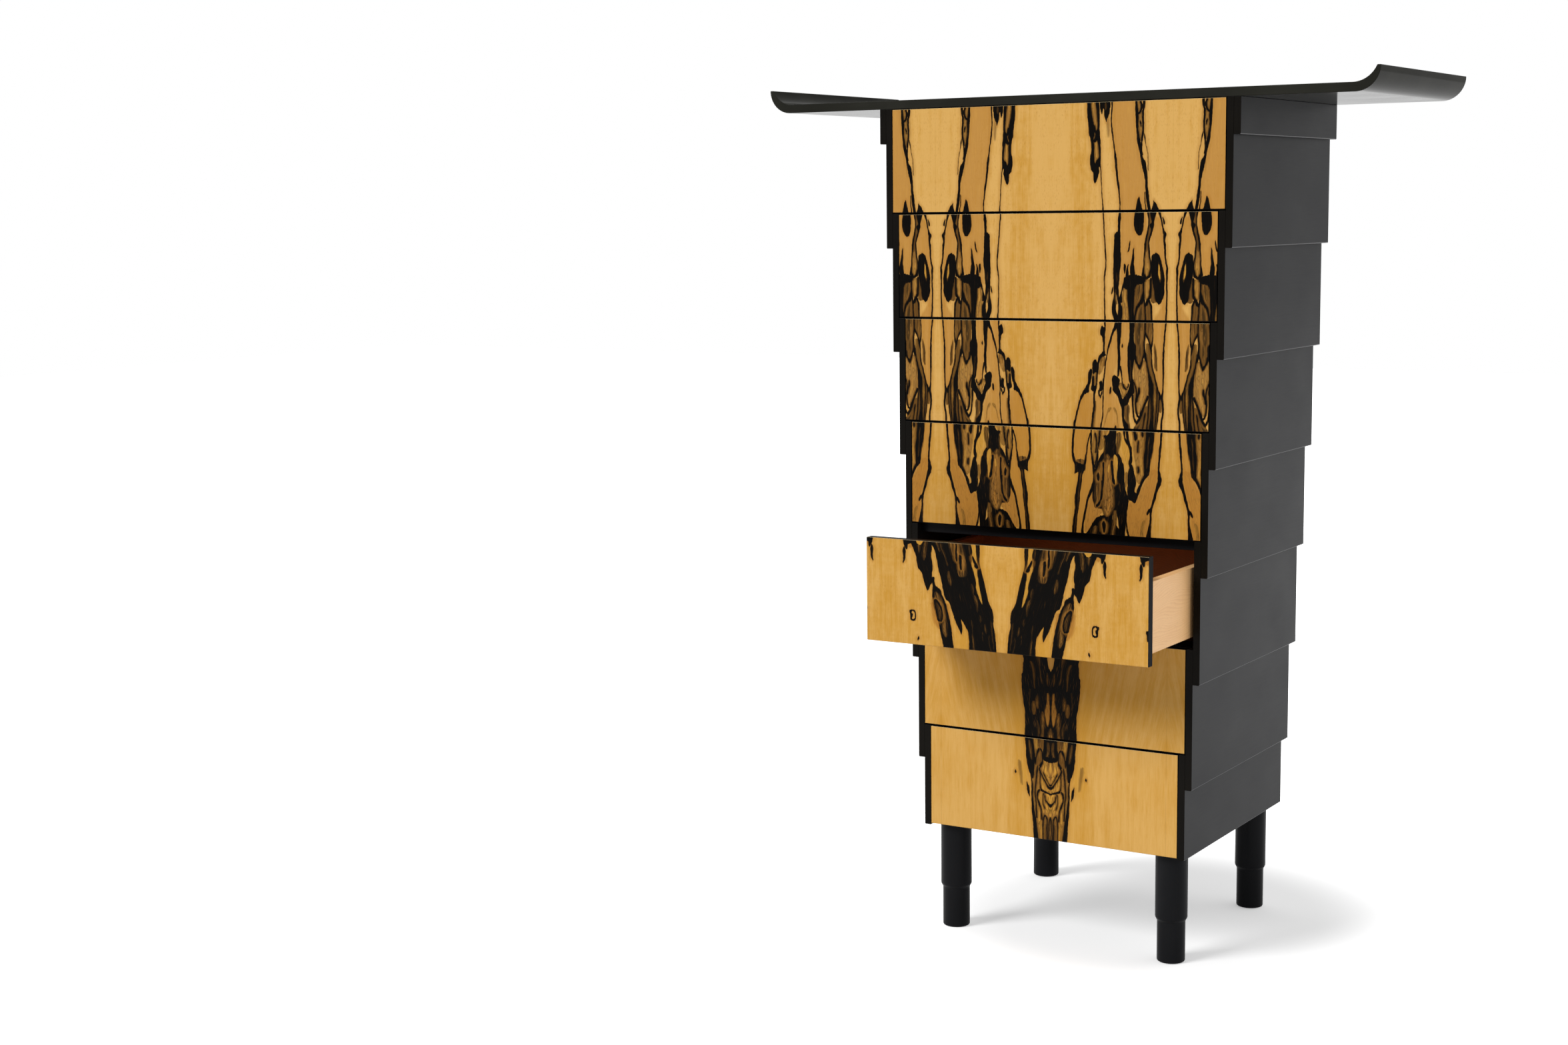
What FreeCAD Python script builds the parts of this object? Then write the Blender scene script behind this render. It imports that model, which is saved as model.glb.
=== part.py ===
import FreeCAD, Part
import Sketcher
import math
import os
import re

# Tall chest of seven inset drawers. Its sides are lapped boards, each set one board
# thickness further in than the one above, so the case and the drawers narrow towards
# the floor. A thin top with upturned ends lies on the case, and four turned legs carry it.
#
# Millimetres, +Z up, +X to the viewer's right. The drawer fronts face -Y.
# The origin is on the floor, under the middle of the case.

DRAWERS = 7
OPEN_DRAWER = "drawer_5"
SIDES = {"left": -1, "right": 1}
LEG_ENDS = {"front": -1, "back": 1}

SIZES = {
    # Case
    "case_depth": 490.0,
    "drawer_pitch": 193.0,
    "board_thickness": 12.7,
    "board_lap": 64.0,
    "board_ease": 1.0,
    "bottom_thickness": 12.7,
    "bottom_reveal": 3.0,
    "back_thickness": 10.0,
    "back_inset": 6.0,
    "rail_height": 18.0,
    "rail_depth": 60.0,
    "rail_setback": 2.0,
    # Top
    "top_length": 1190.0,
    "top_thickness": 16.0,
    "top_ease": 1.0,
    "curl_outer_radius": 43.0,
    "curl_inner_radius": 45.0,
    "curl_tip_width": 6.5,
    # Legs
    "leg_height": 204.0,
    "leg_upper_diameter": 59.0,
    "leg_lower_diameter": 51.5,
    "leg_step_height": 80.0,
    "leg_ogee_height": 11.0,
    "leg_foot_round": 3.5,
    "leg_inset_side": 43.0,
    "leg_inset_end": 47.0,
    # Leg bolts
    "bolt_diameter": 8.0,
    "bolt_depth": 35.0,
    "bolt_head_diameter": 16.0,
    "bolt_head_height": 5.0,
    "bolt_clearance": 0.1,
    "bolt_end_gap": 2.0,
    # Drawer fronts
    "top_front_width": 654.0,
    "front_thickness": 18.0,
    "front_gap": 3.0,
    "front_side_gap": 1.4,
    "front_ease": 0.5,
    "open_distance": 195.0,
    # Drawer boxes
    "box_height": 125.0,
    "box_back_gap": 40.0,
    "box_rise": 19.0,
    "box_side_gap": 7.0,
    "box_thickness": 16.0,
    "panel_thickness": 6.0,
    "panel_recess": 13.0,
    "panel_clearance": 0.2,
    "groove_depth": 7.0,
    "notch_margin": 1.5,
    # Runners
    "runner_gauge": 1.5,
    "flange_height": 20.0,
    "tray_drop": 2.0,
    "tray_margin": 2.0,
    "rib_width": 10.0,
    "rib_height": 9.0,
    "channel_width": 20.0,
    "channel_gap": 0.5,
    "channel_end_gap": 1.0,
    "slide_clearance": 0.3,
    # Overrun of every cut
    "overrun": 5.0,
}

doc = FreeCAD.newDocument("stepped_chest")
sheet = doc.addObject("Spreadsheet::Sheet", "Sizes")
for row, (size_name, size) in enumerate(SIZES.items(), start=1):
    sheet.set(f"A{row}", size_name)
    sheet.set(f"B{row}", str(size))
    sheet.setAlias(f"B{row}", size_name)
doc.recompute()

PIECES = []


# Expressions

def sized(text):
    """The expression with each size name pointed at its cell in the sheet."""
    return re.sub(r"[a-z_]+", lambda word: f"Sizes.{word[0]}" if word[0] in SIZES else word[0], text)


def value(text):
    return float(sheet.evalExpression(sized(text)))


def place(obj, corner):
    for axis, text in zip("xyz", corner):
        obj.setExpression(f"Placement.Base.{axis}", sized(text))


# Solids

def piece(obj, label):
    """Names a finished sub-part and keeps it for the export."""
    obj.Label = label
    PIECES.append(obj)
    return obj


def block(name, low, size):
    """A square-edged bar from its low corner and its size along X, Y and Z."""
    obj = doc.addObject("Part::Box", name)
    for side, text in zip(("Length", "Width", "Height"), size):
        obj.setExpression(side, sized(text))
    place(obj, low)
    return obj


def cut(name, base, tool):
    obj = doc.addObject("Part::Cut", name)
    obj.Base = base
    obj.Tool = tool
    return obj


def fused(name, parts):
    obj = doc.addObject("Part::MultiFuse", name)
    obj.Shapes = parts
    obj.Refine = True
    return obj


def group(name, parts):
    """Separate solids that share one node."""
    obj = doc.addObject("Part::Compound", name)
    obj.Links = parts
    return piece(obj, name)


def arc(start, end, radius, turn):
    """The short arc between two points; it bends left for a turn of 1 and right for -1."""
    middle = (start + end) / 2
    along = end - start
    left = FreeCAD.Vector(-along.y, along.x, 0).normalize()
    centre = middle + left * turn * math.sqrt(radius ** 2 - (along.Length / 2) ** 2)
    first, last = (start, end) if turn > 0 else (end, start)
    angles = [math.atan2(point.y - centre.y, point.x - centre.x) for point in (first, last)]
    if angles[1] < angles[0]:
        angles[1] += 2 * math.pi
    circle = Part.Circle(centre, FreeCAD.Vector(0, 0, 1), radius)
    return Part.ArcOfCircle(circle, *angles)


def hold(sketch, constraint, text):
    index = sketch.addConstraint(constraint)
    sketch.setExpression(f"Constraints[{index}]", sized(text))


def outline(body, corners):
    """A closed sketch on the body's XZ plane. A corner is (x, z), or (x, z, radius, turn)
    where an arc runs from it to the next corner."""
    sketch = body.newObject("Sketcher::SketchObject", body.Name + "_outline")
    plane = next(feature for feature in body.Origin.OriginFeatures if feature.Role == "XZ_Plane")
    sketch.AttachmentSupport = [(plane, "")]
    sketch.MapMode = "FlatFace"
    points = [FreeCAD.Vector(value(corner[0]), value(corner[1]), 0) for corner in corners]
    count = len(corners)
    ends = []
    for i, corner in enumerate(corners):
        start, end = points[i], points[(i + 1) % count]
        turn = corner[3] if len(corner) > 2 else 0
        if turn:
            sketch.addGeometry(arc(start, end, value(corner[2]), turn))
        else:
            sketch.addGeometry(Part.LineSegment(start, end))
        ends.append((2, 1) if turn < 0 else (1, 2))
    for i in range(count):
        after = (i + 1) % count
        sketch.addConstraint(Sketcher.Constraint("Coincident", i, ends[i][1], after, ends[after][0]))
    for i, corner in enumerate(corners):
        hold(sketch, Sketcher.Constraint("DistanceX", -1, 1, i, ends[i][0], points[i].x), corner[0])
        hold(sketch, Sketcher.Constraint("DistanceY", -1, 1, i, ends[i][0], points[i].y), corner[1])
        if len(corner) > 2:
            hold(sketch, Sketcher.Constraint("Radius", i, value(corner[2])), corner[2])
    return sketch


def padded(name, corners, thickness, middle_y):
    """A body of the outline's section, with its thickness along Y about middle_y."""
    body = doc.addObject("PartDesign::Body", name)
    pad = body.newObject("PartDesign::Pad", name + "_pad")
    pad.Profile = outline(body, corners)
    pad.SideType = "Symmetric"
    pad.setExpression("Length", sized(thickness))
    place(body, ("0", middle_y, "0"))
    return body


def turned(name, corners):
    """A body turned about the Z axis from the outline of its right half."""
    body = doc.addObject("PartDesign::Body", name)
    half = outline(body, corners)
    turning = body.newObject("PartDesign::Revolution", name + "_turning")
    turning.Profile = half
    turning.ReferenceAxis = (half, ["V_Axis"])
    turning.Angle = 360
    return body


def faces_along_y(shape, ways):
    """Names of the flat faces whose outward normal points along Y, towards -1 or 1."""
    names = []
    for i, face in enumerate(shape.Faces, start=1):
        if round(face.normalAt(0, 0).y) in ways and face.Surface.TypeId == "Part::GeomPlane":
            names.append(f"Face{i}")
    return names


def eased(body, size_name, ways):
    """Chamfers all edges of the body's faces that point along Y."""
    doc.recompute()
    pad = body.Tip
    edge = body.newObject("PartDesign::Chamfer", f"{body.Name}_chamfer")
    edge.Base = (pad, faces_along_y(pad.Shape, ways))
    edge.setExpression("Size", sized(size_name))


def across(side, near, far):
    """Low X and width of a span that lies between near and far from the middle, on one side."""
    return (near if side > 0 else f"-({far})"), f"({far}) - ({near})"


# Levels and widths that several pieces share

def boundary(n):
    """Height of the line between drawer n and the one below it; 0 is the top of the case."""
    return f"(leg_height + bottom_reveal - front_gap / 2 + {DRAWERS - n} * drawer_pitch)"


def opening_half(n):
    """Half the clear width of the case at drawer n."""
    return f"(top_front_width / 2 + front_side_gap + ({1 - n}) * board_thickness)"


def box_bottom(n):
    return f"({boundary(n)} + front_gap / 2 + box_rise)"


def box_half(n):
    return f"({opening_half(n)} - box_side_gap)"


def box_inner_half(n):
    return f"({box_half(n)} - box_thickness)"


def channel_far(n):
    return f"({box_inner_half(n)} - channel_gap)"


def front_back_y(n):
    """Y of the back face of drawer n's front."""
    pulled = " - open_distance" if f"drawer_{n}" == OPEN_DRAWER else ""
    return f"({CASE_FRONT_Y} + front_thickness{pulled})"


CASE_FRONT_Y = "-case_depth / 2"
BACK_PANEL_Y = "(case_depth / 2 - back_inset - back_thickness)"
RAIL_Y = f"({CASE_FRONT_Y} + front_thickness + rail_setback)"
BOX_LENGTH = "(case_depth - front_thickness - box_back_gap - back_thickness - back_inset)"
RUNNER_LENGTH = f"({BOX_LENGTH} - box_thickness)"


# Case

def make_side_board(hand, side, k):
    """Board k of a side, counted from the top, with its lower outer edge eased. Each board
    hangs one lap below the drawer boundary that its neighbour starts from."""
    inner = opening_half(k - 1)
    outer = f"({inner} + board_thickness)"
    top = boundary(max(k - 2, 0))
    bottom = f"({boundary(k - 1)} - board_lap)" if k <= DRAWERS else "leg_height"
    section = [
        (inner, bottom),
        (f"{outer} - board_ease", bottom),
        (outer, f"{bottom} + board_ease"),
        (outer, top),
        (inner, top),
    ]
    if side < 0:
        section = [(f"-({x})", z) for x, z in reversed(section)]
    name = f"{hand}_board_{k}"
    piece(padded(name, section, "case_depth", "0"), name)


def make_back_panel():
    """A panel between the sides, stepped where they are."""
    right = [(opening_half(DRAWERS), "leg_height")]
    for n in range(DRAWERS, 0, -1):
        right.append((opening_half(n), boundary(n - 1)))
        if n > 1:
            right.append((opening_half(n - 1), boundary(n - 1)))
    left = [(f"-{x}", z) for x, z in reversed(right)]
    middle_y = f"{BACK_PANEL_Y} + back_thickness / 2"
    piece(padded("back_panel", right + left, "back_thickness", middle_y), "back_panel")


def make_rail(n):
    """A cross rail that hangs from the boundary under drawer n, behind the fronts."""
    half = opening_half(n + 1)
    low = (f"-{half}", RAIL_Y, f"{boundary(n)} - rail_height")
    rail = block(f"rail_{n}" if n else "top_rail", low, (f"2 * {half}", "rail_depth", "rail_height"))
    piece(rail, rail.Name)


def make_top():
    """One thin board with both ends bent up. The outside of a bend is a quarter circle, and
    the inside is a wider arc, so the end thins to a narrow flat tip."""
    tip = "top_length / 2"
    inner_tip = f"({tip} - curl_tip_width)"
    rise = "(curl_outer_radius - top_thickness)"
    inner_run = f"sqrt(curl_inner_radius ^ 2 - (curl_inner_radius - {rise}) ^ 2)"
    under = boundary(0)
    tip_z = f"{under} + curl_outer_radius"
    upper = f"{under} + top_thickness"
    corners = [
        (f"-({tip} - curl_outer_radius)", under),
        (f"{tip} - curl_outer_radius", under, "curl_outer_radius", 1),
        (tip, tip_z),
        (inner_tip, tip_z, "curl_inner_radius", -1),
        (f"{inner_tip} - {inner_run}", upper),
        (f"-({inner_tip} - {inner_run})", upper, "curl_inner_radius", -1),
        (f"-{inner_tip}", tip_z),
        (f"-({tip})", tip_z, "curl_outer_radius", 1),
    ]
    body = padded("top_board", corners, "case_depth", "0")
    eased(body, "top_ease", (-1, 1))
    piece(body, "top_board")


# Legs and what holds them

def leg_places():
    """Name and axis of each leg, set in from the lowest boards' outer faces and the case's ends."""
    x = f"({opening_half(DRAWERS)} + board_thickness - leg_inset_side)"
    y = "(case_depth / 2 - leg_inset_end)"
    for end, way in LEG_ENDS.items():
        for hand, side in SIDES.items():
            yield f"{end}_{hand}", f"({side}) * {x}", f"({way}) * {y}"


def make_leg(name, x, y):
    """A turned leg: the upper length steps in to the lower one through an ogee, the foot is
    rounded, and the top is bored for its bolt."""
    lower = "leg_lower_diameter / 2"
    upper = "leg_upper_diameter / 2"
    step = f"({upper} - {lower})"
    ogee_radius = f"(leg_ogee_height ^ 2 + {step} ^ 2) / (4 * {step})"
    bore = "bolt_diameter / 2 + bolt_clearance"
    bore_end = "leg_height - bolt_depth - bolt_end_gap"
    corners = [
        ("0", "0"),
        (f"{lower} - leg_foot_round", "0", "leg_foot_round", 1),
        (lower, "leg_foot_round"),
        (lower, "leg_step_height - leg_ogee_height / 2", ogee_radius, -1),
        (f"({lower} + {upper}) / 2", "leg_step_height", ogee_radius, 1),
        (upper, "leg_step_height + leg_ogee_height / 2"),
        (upper, "leg_height"),
        (bore, "leg_height"),
        (bore, bore_end),
        ("0", bore_end),
    ]
    leg = turned(f"{name}_leg", corners)
    place(leg, (x, y, "0"))
    piece(leg, leg.Name)


def make_leg_bolt(name, x, y):
    """A headed bolt that goes down through the bottom board into a leg."""
    seat = "leg_height + bottom_thickness"
    corners = [
        ("0", "leg_height - bolt_depth"),
        ("bolt_diameter / 2", "leg_height - bolt_depth"),
        ("bolt_diameter / 2", seat),
        ("bolt_head_diameter / 2", seat),
        ("bolt_head_diameter / 2", f"{seat} + bolt_head_height"),
        ("0", f"{seat} + bolt_head_height"),
    ]
    bolt = turned(f"{name}_bolt", corners)
    place(bolt, (x, y, "0"))
    return bolt


def make_bottom_board():
    """The board between the lowest side boards, bored for the leg bolts."""
    half = opening_half(DRAWERS)
    board = block("bottom_blank", (f"-{half}", RAIL_Y, "leg_height"),
                  (f"2 * {half}", f"{BACK_PANEL_Y} - {RAIL_Y}", "bottom_thickness"))
    drills = []
    for name, x, y in leg_places():
        drill = doc.addObject("Part::Cylinder", f"{name}_drill")
        drill.setExpression("Radius", sized("bolt_diameter / 2 + bolt_clearance"))
        drill.setExpression("Height", sized("bottom_thickness + 2 * overrun"))
        place(drill, (x, y, "leg_height - overrun"))
        drills.append(drill)
    holes = doc.addObject("Part::Compound", "bottom_drills")
    holes.Links = drills
    piece(cut("bottom_board", board, holes), "bottom_board")


# Drawers

def make_front(n):
    """An inset front with eased face edges."""
    half = f"({opening_half(n)} - front_side_gap)"
    low = f"{boundary(n)} + front_gap / 2"
    high = f"{boundary(n - 1)} - front_gap / 2"
    corners = [(f"-{half}", low), (half, low), (half, high), (f"-{half}", high)]
    name = f"drawer_{n}_front"
    body = padded(name, corners, "front_thickness", f"{front_back_y(n)} - front_thickness / 2")
    eased(body, "front_ease", (-1,))
    piece(body, name)


def make_box(n):
    """Two sides with an inner front and a back between them, all grooved for the bottom panel.
    The back is notched below the panel, where it passes over the fixed runners."""
    name = f"drawer_{n}"
    inner = box_inner_half(n)
    y, z = front_back_y(n), box_bottom(n)
    back_y = f"({y} + {BOX_LENGTH} - box_thickness)"
    groove_half = f"({inner} + groove_depth)"
    groove_y = f"({y} + box_thickness - groove_depth)"
    groove_run = f"({BOX_LENGTH} - 2 * box_thickness + 2 * groove_depth)"
    panel_z = f"({z} + panel_recess)"
    groove = block(f"{name}_groove", (f"-{groove_half}", groove_y, f"{panel_z} - panel_clearance"),
                   (f"2 * {groove_half}", groove_run, "panel_thickness + 2 * panel_clearance"))
    end_size = (f"2 * {inner}", "box_thickness", "box_height")
    inner_front = block(f"{name}_inner_front", (f"-{inner}", y, z), end_size)
    back = block(f"{name}_back_blank", (f"-{inner}", back_y, z), end_size)
    sides, notches = [], []
    for hand, side in SIDES.items():
        x, width = across(side, inner, box_half(n))
        sides.append(block(f"{name}_{hand}_side", (x, y, z), (width, BOX_LENGTH, "box_height")))
        x, width = across(side, f"{channel_far(n)} - channel_width - notch_margin", inner)
        notches.append(block(f"{name}_{hand}_notch", (x, f"{back_y} - overrun", f"{z} - overrun"),
                             (width, "box_thickness + 2 * overrun", "panel_recess + overrun")))
    notch_pair = doc.addObject("Part::Compound", f"{name}_notches")
    notch_pair.Links = notches
    boards = [inner_front, cut(f"{name}_back", back, notch_pair), *sides]
    group(f"{name}_box", [cut(board.Name + "_grooved", board, groove) for board in boards])
    panel_half = f"({groove_half} - panel_clearance)"
    panel = block(f"{name}_bottom", (f"-{panel_half}", f"{groove_y} + panel_clearance", panel_z),
                  (f"2 * {panel_half}", f"{groove_run} - 2 * panel_clearance", "panel_thickness"))
    piece(panel, panel.Name)


def tray_top(n):
    """Height of the fixed runner's tray, a little below the drawer's sides."""
    return f"({box_bottom(n)} - tray_drop)"


def make_drawer_runners(n):
    """Channels under the drawer's bottom panel that ride on the fixed runners."""
    channels = []
    low = f"({tray_top(n)} + slide_clearance)"
    height = f"({box_bottom(n)} + panel_recess - {low})"
    y = f"({front_back_y(n)} + box_thickness + channel_end_gap)"
    run = f"({BOX_LENGTH} - 2 * box_thickness - 2 * channel_end_gap)"
    far = channel_far(n)
    for hand, side in SIDES.items():
        name = f"drawer_{n}_{hand}_channel"
        x, width = across(side, f"{far} - channel_width", far)
        bar = block(f"{name}_bar", (x, y, low), (width, run, height))
        inside_x, inside_width = across(side, f"{far} - channel_width + runner_gauge", f"{far} - runner_gauge")
        hollow = block(f"{name}_hollow", (inside_x, f"{y} - overrun", f"{low} - overrun"),
                       (inside_width, f"{run} + 2 * overrun", f"{height} - runner_gauge + overrun"))
        channels.append(cut(name, bar, hollow))
    group(f"drawer_{n}_runners", channels)


def make_cabinet_runner(n, hand, side):
    """A fixed runner: a flange on the case's side, a tray under the drawer and a guide rib."""
    name = f"cabinet_runner_{n}_{hand}"
    wall = opening_half(n)
    rib_far = f"({channel_far(n)} - (channel_width - rib_width) / 2)"
    tray_near = f"({channel_far(n)} - channel_width - tray_margin)"
    low = f"({tray_top(n)} - runner_gauge)"
    y = f"({CASE_FRONT_Y} + front_thickness + box_thickness + channel_end_gap)"
    spans = {
        "flange": (f"{wall} - runner_gauge", wall, low, "flange_height"),
        "tray": (tray_near, wall, low, "runner_gauge"),
        "rib": (f"{rib_far} - rib_width", rib_far, tray_top(n), "rib_height"),
    }
    bars = []
    for part, (near, far, z, height) in spans.items():
        x, width = across(side, near, far)
        bars.append(block(f"{name}_{part}", (x, y, z), (width, RUNNER_LENGTH, height)))
    return fused(name, bars)


# The whole chest, from the top down

make_top()
for board_hand, board_side in SIDES.items():
    for board in range(1, DRAWERS + 2):
        make_side_board(board_hand, board_side, board)
make_back_panel()
make_bottom_board()
for rail in range(DRAWERS):
    make_rail(rail)
for leg in leg_places():
    make_leg(*leg)
group("leg_bolts", [make_leg_bolt(*leg) for leg in leg_places()])
group("cabinet_runners", [make_cabinet_runner(n, hand, side)
                          for n in range(1, DRAWERS + 1) for hand, side in SIDES.items()])
for drawer in range(1, DRAWERS + 1):
    make_front(drawer)
    make_box(drawer)
    make_drawer_runners(drawer)
doc.recompute()

for obj in doc.Objects:
    if {"Invalid", "Error"} & set(obj.State):
        raise RuntimeError(f"{obj.Label} failed: {obj.State}")
for obj in PIECES:
    if obj.Shape.isNull() or not obj.Shape.isValid() or not obj.Shape.Solids:
        raise RuntimeError(f"{obj.Label} has no valid solid")

os.makedirs("parts", exist_ok=True)
for obj in PIECES:
    obj.Shape.exportStep(f"parts/{obj.Label}.step")
whole = FreeCAD.BoundBox()
for obj in PIECES:
    whole.add(obj.Shape.BoundBox)
print(f"{len(PIECES)} pieces, {whole.XLength:.1f} x {whole.YLength:.1f} x {whole.ZLength:.1f} mm")
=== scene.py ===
from collections import namedtuple
from math import acos, atan2, pi, radians

import bmesh
import bpy
from bpy.props import FloatProperty, FloatVectorProperty, PointerProperty
from mathutils import Matrix, Vector


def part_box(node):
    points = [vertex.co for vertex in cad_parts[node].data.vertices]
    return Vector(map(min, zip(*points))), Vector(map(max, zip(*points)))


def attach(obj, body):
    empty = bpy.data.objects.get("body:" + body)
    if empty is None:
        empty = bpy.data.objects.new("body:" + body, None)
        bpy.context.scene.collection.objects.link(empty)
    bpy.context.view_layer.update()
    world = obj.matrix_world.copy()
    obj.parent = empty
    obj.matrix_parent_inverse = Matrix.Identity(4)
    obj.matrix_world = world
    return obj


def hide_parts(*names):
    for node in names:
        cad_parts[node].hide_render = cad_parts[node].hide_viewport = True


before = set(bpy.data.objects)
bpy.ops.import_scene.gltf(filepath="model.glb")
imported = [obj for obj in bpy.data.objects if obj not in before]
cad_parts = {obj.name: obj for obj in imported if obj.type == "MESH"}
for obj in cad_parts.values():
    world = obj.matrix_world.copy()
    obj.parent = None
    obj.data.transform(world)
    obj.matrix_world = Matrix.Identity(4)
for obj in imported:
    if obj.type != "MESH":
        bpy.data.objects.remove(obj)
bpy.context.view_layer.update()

bl_info = {
    "name": "Stepped Chest of Drawers",
    "version": (1, 0, 0),
    "blender": (4, 5, 0),
    "location": "3D View > Sidebar > Chest",
    "description": "Dresses a tall stepped chest with spalted veneer, satin black lacquer and steel",
    "category": "Object",
}

# Millimetres in a metre
MM = 1000.0

# The chest in the frame, whose fronts face -Y, and the drawers whose lower lip shows clear wood; the other
# fronts' lower lips carry the black edge paint as a painted shadow that widens the gap below them
DRAWERS = range(1, 8)
CLEAR_LIPS = (5, 7)
CASE_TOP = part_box("top_board")[0].z
LEGS = ("front_left_leg", "front_right_leg", "back_left_leg", "back_right_leg")
SIDE_BOARDS = [f"{hand}_board_{k}" for hand in ("left", "right") for k in range(1, 9)]
RAILS = ["top_rail"] + [f"rail_{n}" for n in range(1, 7)]

# Camera that took the picture, fitted to the corners of the drawer fronts and side boards
CAMERA_PLACE = Vector((1.8374, -4.0712, 1.3710))
CAMERA_YAW = radians(32.242)
CAMERA_PITCH = radians(-7.595)
CAMERA_ROLL = radians(-0.706)
SENSOR_WIDTH_MM = 36.0

# Way to the key light, and the spans of direction over which the back and the right of the studio brighten
SUN_WAY = Vector((-0.43, -0.70, 0.60))
BACK_SPAN = (-0.3, 0.6)
RIGHT_SPAN = (0.1, 0.9)

# Floor: half its width and its drop in metres, the distances over which it fades to white, and how far the
# fade's centre lies from the middle of the chest. Past the fade, the added white is painted light that washes
# out the chest's own cast shadow.
FLOOR_HALF = 15.0
FLOOR_DROP = 0.0004
FLOOR_FADE_MM = (300.0, 600.0)
FADE_SHIFT_MM = (85.0, 53.0)

# Meshes: angles that tell soft, sharp and flat edges apart, welding distances, and segments of roundings
SOFT_BELOW = radians(35.0)
SHARP_ABOVE = radians(30.0)
FLAT_WITHIN = radians(1.0)
WELD = 1e-6
TOP_WELD = 1e-5
EASE_SEGMENTS = 3
CURL_SEGMENTS = (24, 20)
FOOT_SEGMENTS = 6
OGEE_SEGMENTS = 6
LEG_SEGMENTS = 72
SCREW_SEGMENTS = 20

# Parts of a normal by which a face counts as flat to the front, tilted, facing front, on a lower outer edge
# that gets a painted highlight, or upright
FLAT_FRONT = 0.98
TILTED = 0.1
FACES_FRONT = 0.5
HIGHLIGHT_TILT = 0.2
UPRIGHT = 0.3

# Screws: thickness of a drawer's inner front in metres, shares of the width and height where they sit, and
# shares of a head's height or width for its rounding and recess
INNER_FRONT = 0.016
FRONT_SCREWS = (0.15, 0.38, 0.62, 0.85)
FRONT_SCREW_LEVEL = 0.62
BACK_SCREWS = (0.06, 0.28, 0.5, 0.72, 0.94)
CROWN_ROUND = 0.55
RECESS_RIM = 0.12
RECESS_DEPTH = 0.5


# Properties

def colour(name, description, default):
    return FloatVectorProperty(name=name, description=description, default=default,
                               subtype="COLOR", size=3, min=0.0, max=1.0)


def length(name, description, default):
    return FloatProperty(name=name, description=description, default=default, min=0.0, unit="LENGTH")


def share(name, description, default):
    return FloatProperty(name=name, description=description, default=default,
                         min=0.0, max=1.0, subtype="FACTOR")


class ChestSizes(bpy.types.PropertyGroup):
    """Small sizes that the looks add to the frame"""
    front_ease: length("Front ease", "Rounding of a drawer front's edges", 0.0009)
    front_lip: length("Front lip", "Rounding along a front's lower edge", 0.0016)
    board_ease: length("Board ease", "Rounding of the case boards' edges", 0.0009)
    box_ease: length("Box ease", "Rounding of the drawer boxes' edges", 0.0008)
    top_thickness: length("Top thickness", "Thickness of the flat of the top", 0.016)
    top_ease: length("Top ease", "Rounding of the top's edges", 0.0012)
    curl_outer_radius: length("Curl outside", "Radius under the upturned ends", 0.043)
    curl_inner_radius: length("Curl inside", "Radius over the upturned ends", 0.045)
    curl_tip: length("Curl tip", "Width of the upturned tips", 0.0065)
    leg_upper: length("Upper leg", "Diameter of a leg above its step", 0.059)
    leg_lower: length("Lower leg", "Diameter of a leg below its step", 0.0515)
    leg_step: length("Leg step", "Height of the middle of the step", 0.080)
    leg_ogee: length("Leg ogee", "Height of the step's curve", 0.011)
    foot_round: length("Foot round", "Rounding of a leg's foot", 0.0035)
    bolt_bore: length("Bolt bore", "Diameter of the bore in a leg's top", 0.0082)
    bore_depth: length("Bore depth", "Depth of the bore in a leg's top", 0.037)
    screw_head: length("Screw head", "Diameter of a screw's head", 0.0085)
    screw_height: length("Screw height", "Height of a screw's head", 0.0022)


class VeneerLook(bpy.types.PropertyGroup):
    """Colours of the spalted veneer"""
    pale: colour("Pale wood", "Lightest sapwood", (0.705, 0.408, 0.116))
    gold: colour("Gold wood", "Deeper sapwood", (0.585, 0.292, 0.042))
    amber: colour("Amber wood", "Warm wood beside the zone lines", (0.430, 0.185, 0.030))
    tan: colour("Tan spalt", "Lightly spalted wood", (0.300, 0.138, 0.029))
    brown: colour("Brown spalt", "Strongly spalted wood", (0.084, 0.039, 0.010))
    umber: colour("Umber spalt", "Darkest brown inside the black", (0.026, 0.013, 0.004))
    zone: colour("Zone line", "Ink-like lines and masses", (0.0018, 0.0012, 0.0007))
    # Painted highlight: a lighter wood colour on the fronts' upper edges, standing in for the light those
    # edges catch
    arris_highlight: colour("Worn arris", "Upper edges of the fronts, rubbed to bare wood", (0.740, 0.560, 0.330))
    roughness: share("Lacquer roughness", "Roughness of the clear lacquer", 0.42)
    gloss: share("Lacquer gloss", "Strength of the clear lacquer's reflection", 0.05)


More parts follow.
